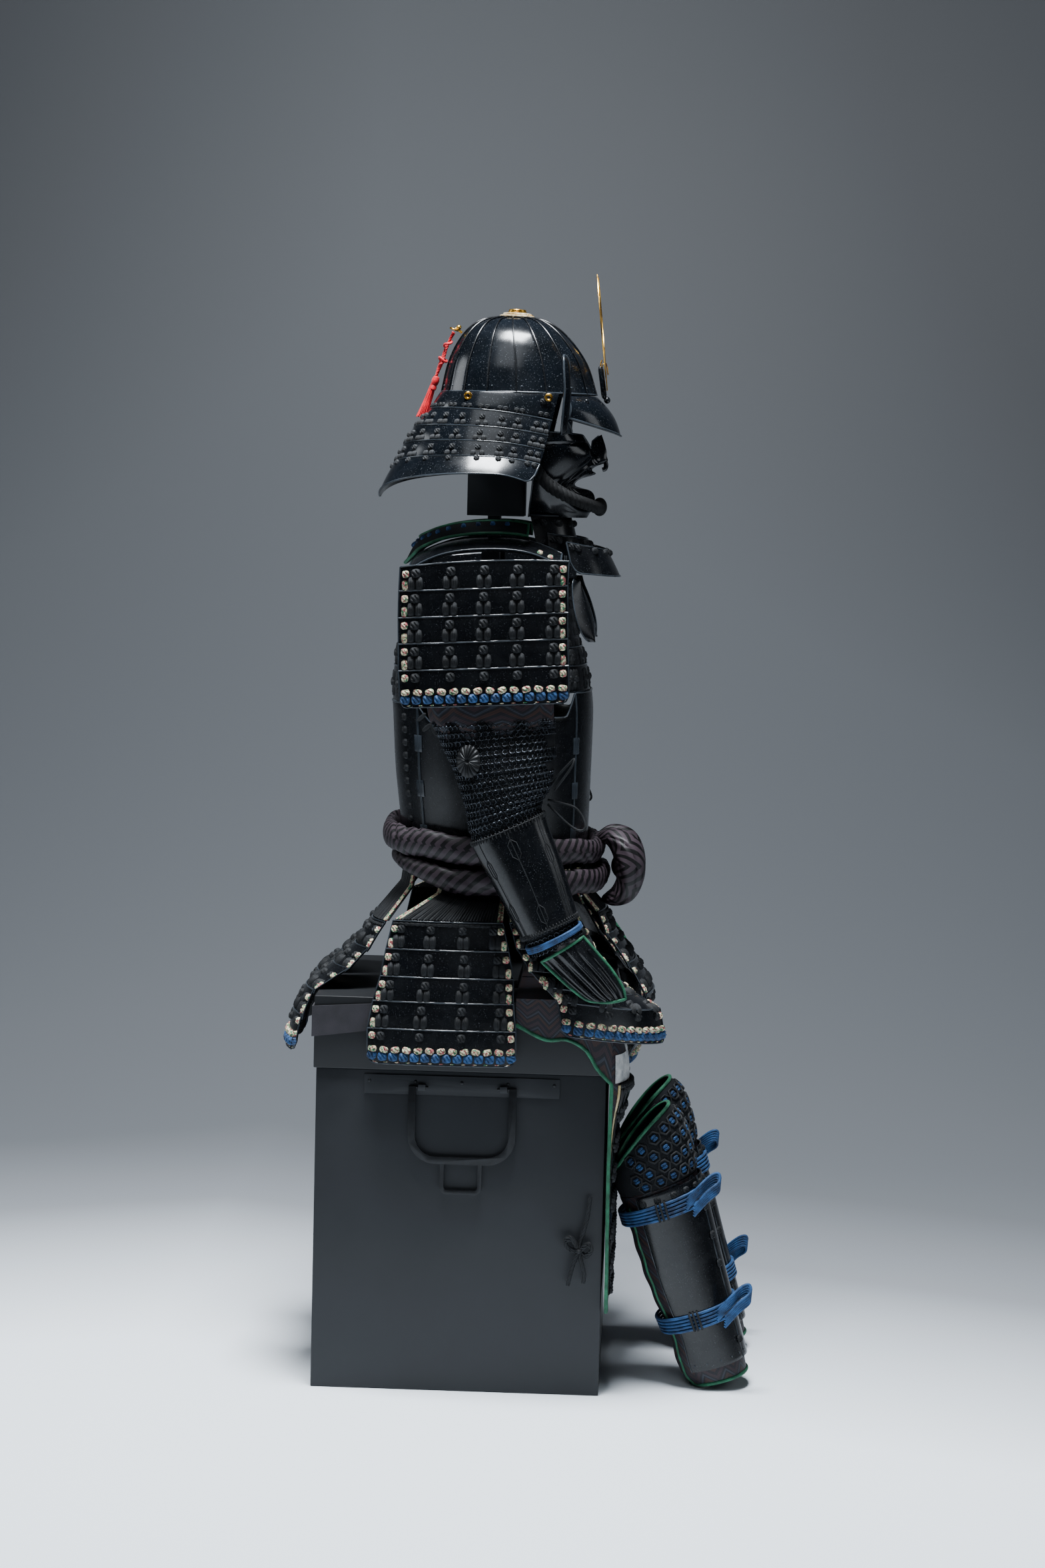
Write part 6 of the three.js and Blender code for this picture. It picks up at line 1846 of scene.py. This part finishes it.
# a tie's loop from its root: how far ahead, up the shin and out to the side
TIE_LOOP = ((0, 0, 0), (20, 14, 3), (42, 25, -4), (54, 25, -5), (52, 14, 1), (34, 6, 7), (8, -11, 8))
for word, way in SIDES:
    in_shin, in_leg, in_knee = ((388 - a * math.sin(LEAN), way * SHIN_APART, a * math.cos(LEAN))
                                for a in (180, 300, 360))
    face, pad = shin_cloth(way), knee_face(way)
    cloth = shaped_grid(f"shin_quilt_{word}", 90, 80, face, inside=in_shin, closed=True)
    fit(walled(cloth, 2.2, 0, 60), brocade, f"shin_cloth_{word}")
    knee = shaped_grid(f"knee_pad_{word}", 90, 26, pad, inside=in_knee, closed=True)
    fit(walled(knee, 3.2, 0.8, 60), black_cloth, f"knee_guard_{word}")
    piping = [run_over(face, (0, 1, 1, 1, 49))[:-1], run_over(pad, (0, 0, 1, 0, 49))[:-1]]
    fit(rods(f"shin_piping_{word}", piping, 2.8, closed=True), green_silk)
    seams = [run_over(face, (a, 0.06, a, 0.99, 40)) for a in (0.405, 0.595)]
    fit(rods(f"shin_seams_{word}", seams, 2.2), green_silk)
    # hexagons couched on the knee guard, each round a blue cross-stitched square
    hexes, ties = [], []
    for row, down in enumerate((0.17, 0.40, 0.63, 0.86)):
        for k in range(19):
            across = (k + 0.5 * (row % 2)) / 19
            if 0.32 < across < 0.68:
                continue
            at, along, up, out = spot_on(pad, across, down, 1, 1, 1, inside=in_knee)
            hexes.append([tuple(at + along * 9.8 * math.cos(a) + up * 9.8 * math.sin(a) + out * 0.9)
                          for a in np.linspace(0, 2 * math.pi, 7)[:-1]])
            for shift in (-2.2, 2.2):
                ties.append(("knot", "blue", (at + out * 0.4 + up * shift, along * 9.4, up * 4.6, out * 3.0)))
    fit(rods(f"knee_hexagons_{word}", hexes, 1.7, closed=True, sides=6), black_silk)
    lace(f"knee_stitches_{word}", ties)

    plates, seams, ties, studs = [], [], [], []
    for k, (start, end) in enumerate(((-122, -27), (-26, 26), (27, 122))):
        plate = splint_plate(way, start, end)
        plates.append(shaped_grid(f"splint_{word}_{k}", 36, 60, plate, inside=in_shin))
        seams += [run_over(plate, (a, 0, a, 1, 30)) for a in (0.004, 0.996)]
        count = 3 if k == 1 else 5
        ties += tie_row(plate, "knot", "black", np.linspace(0.1, 0.9, count), 0.035, 11, 11, 4, inside=in_leg)
        studs += run_over(plate, (0.1, 0.965, 0.9, 0.965, count))
    splints = walled(joined(f"shin_splints_{word}", plates), 2.6, 0.5, 34)
    fit(splints, plate_lacquer, f"shin_plates_{word}")
    fit(rods(f"splint_edges_{word}", seams, 0.9, sides=6), rim_lacquer)
    fit(rivets(f"shin_rivets_{word}", studs, AHEAD_OF_SHIN, 1.9, 0.6), rim_lacquer)
    for angle in (-26.5, 26.5):
        ridge = splint_plate(way, angle - 6, angle + 6)
        for down in (0.155, 0.31, 0.47, 0.77, 0.90):
            for spin in (-0.6, 0.6):
                ties += tie_row(ridge, "knot", "black", [0.5], down, 15, 9, 4, inside=in_shin, spin=spin)
    lace(f"splint_knots_{word}", ties)

    # each tie is five blue cords side by side, wrapped once in black and looped forward
    bands, loops, keepers = [], [], []
    for along in TIES:
        root = Vector(shin_at(SHIN, along, math.radians(-62), 10, way))
        for shift in (-10.4, -5.2, 0, 5.2, 10.4):
            bands.append([shin_at(SHIN, along + shift + 3 * math.cos(a), a, 7.6, way)
                          for a in turn_round[::2]])
            loops.append([root + AHEAD_OF_SHIN * (ahead + shift * 0.25) + UP_SHIN * (up + shift * 0.7)
                          + Vector((0, way * out, 0)) for ahead, up, out in TIE_LOOP])
        for shift in (-3, 0, 3):
            keepers.append([shin_at(SHIN, along + lift, math.radians(-92 + shift * 1.4), grow, way)
                            for lift, grow in ((-13, 6), (-13, 11.4), (0, 11.8), (13, 11.4), (13, 6))])
    fit(rods(f"shin_tie_bands_{word}", bands, 2.35, closed=True), blue_silk)
    fit(rods(f"shin_tie_loops_{word}", [smooth_path(path, 26) for path in loops], 2.3), blue_silk)
    fit(rods(f"shin_tie_keepers_{word}", keepers, 1.8), black_silk)
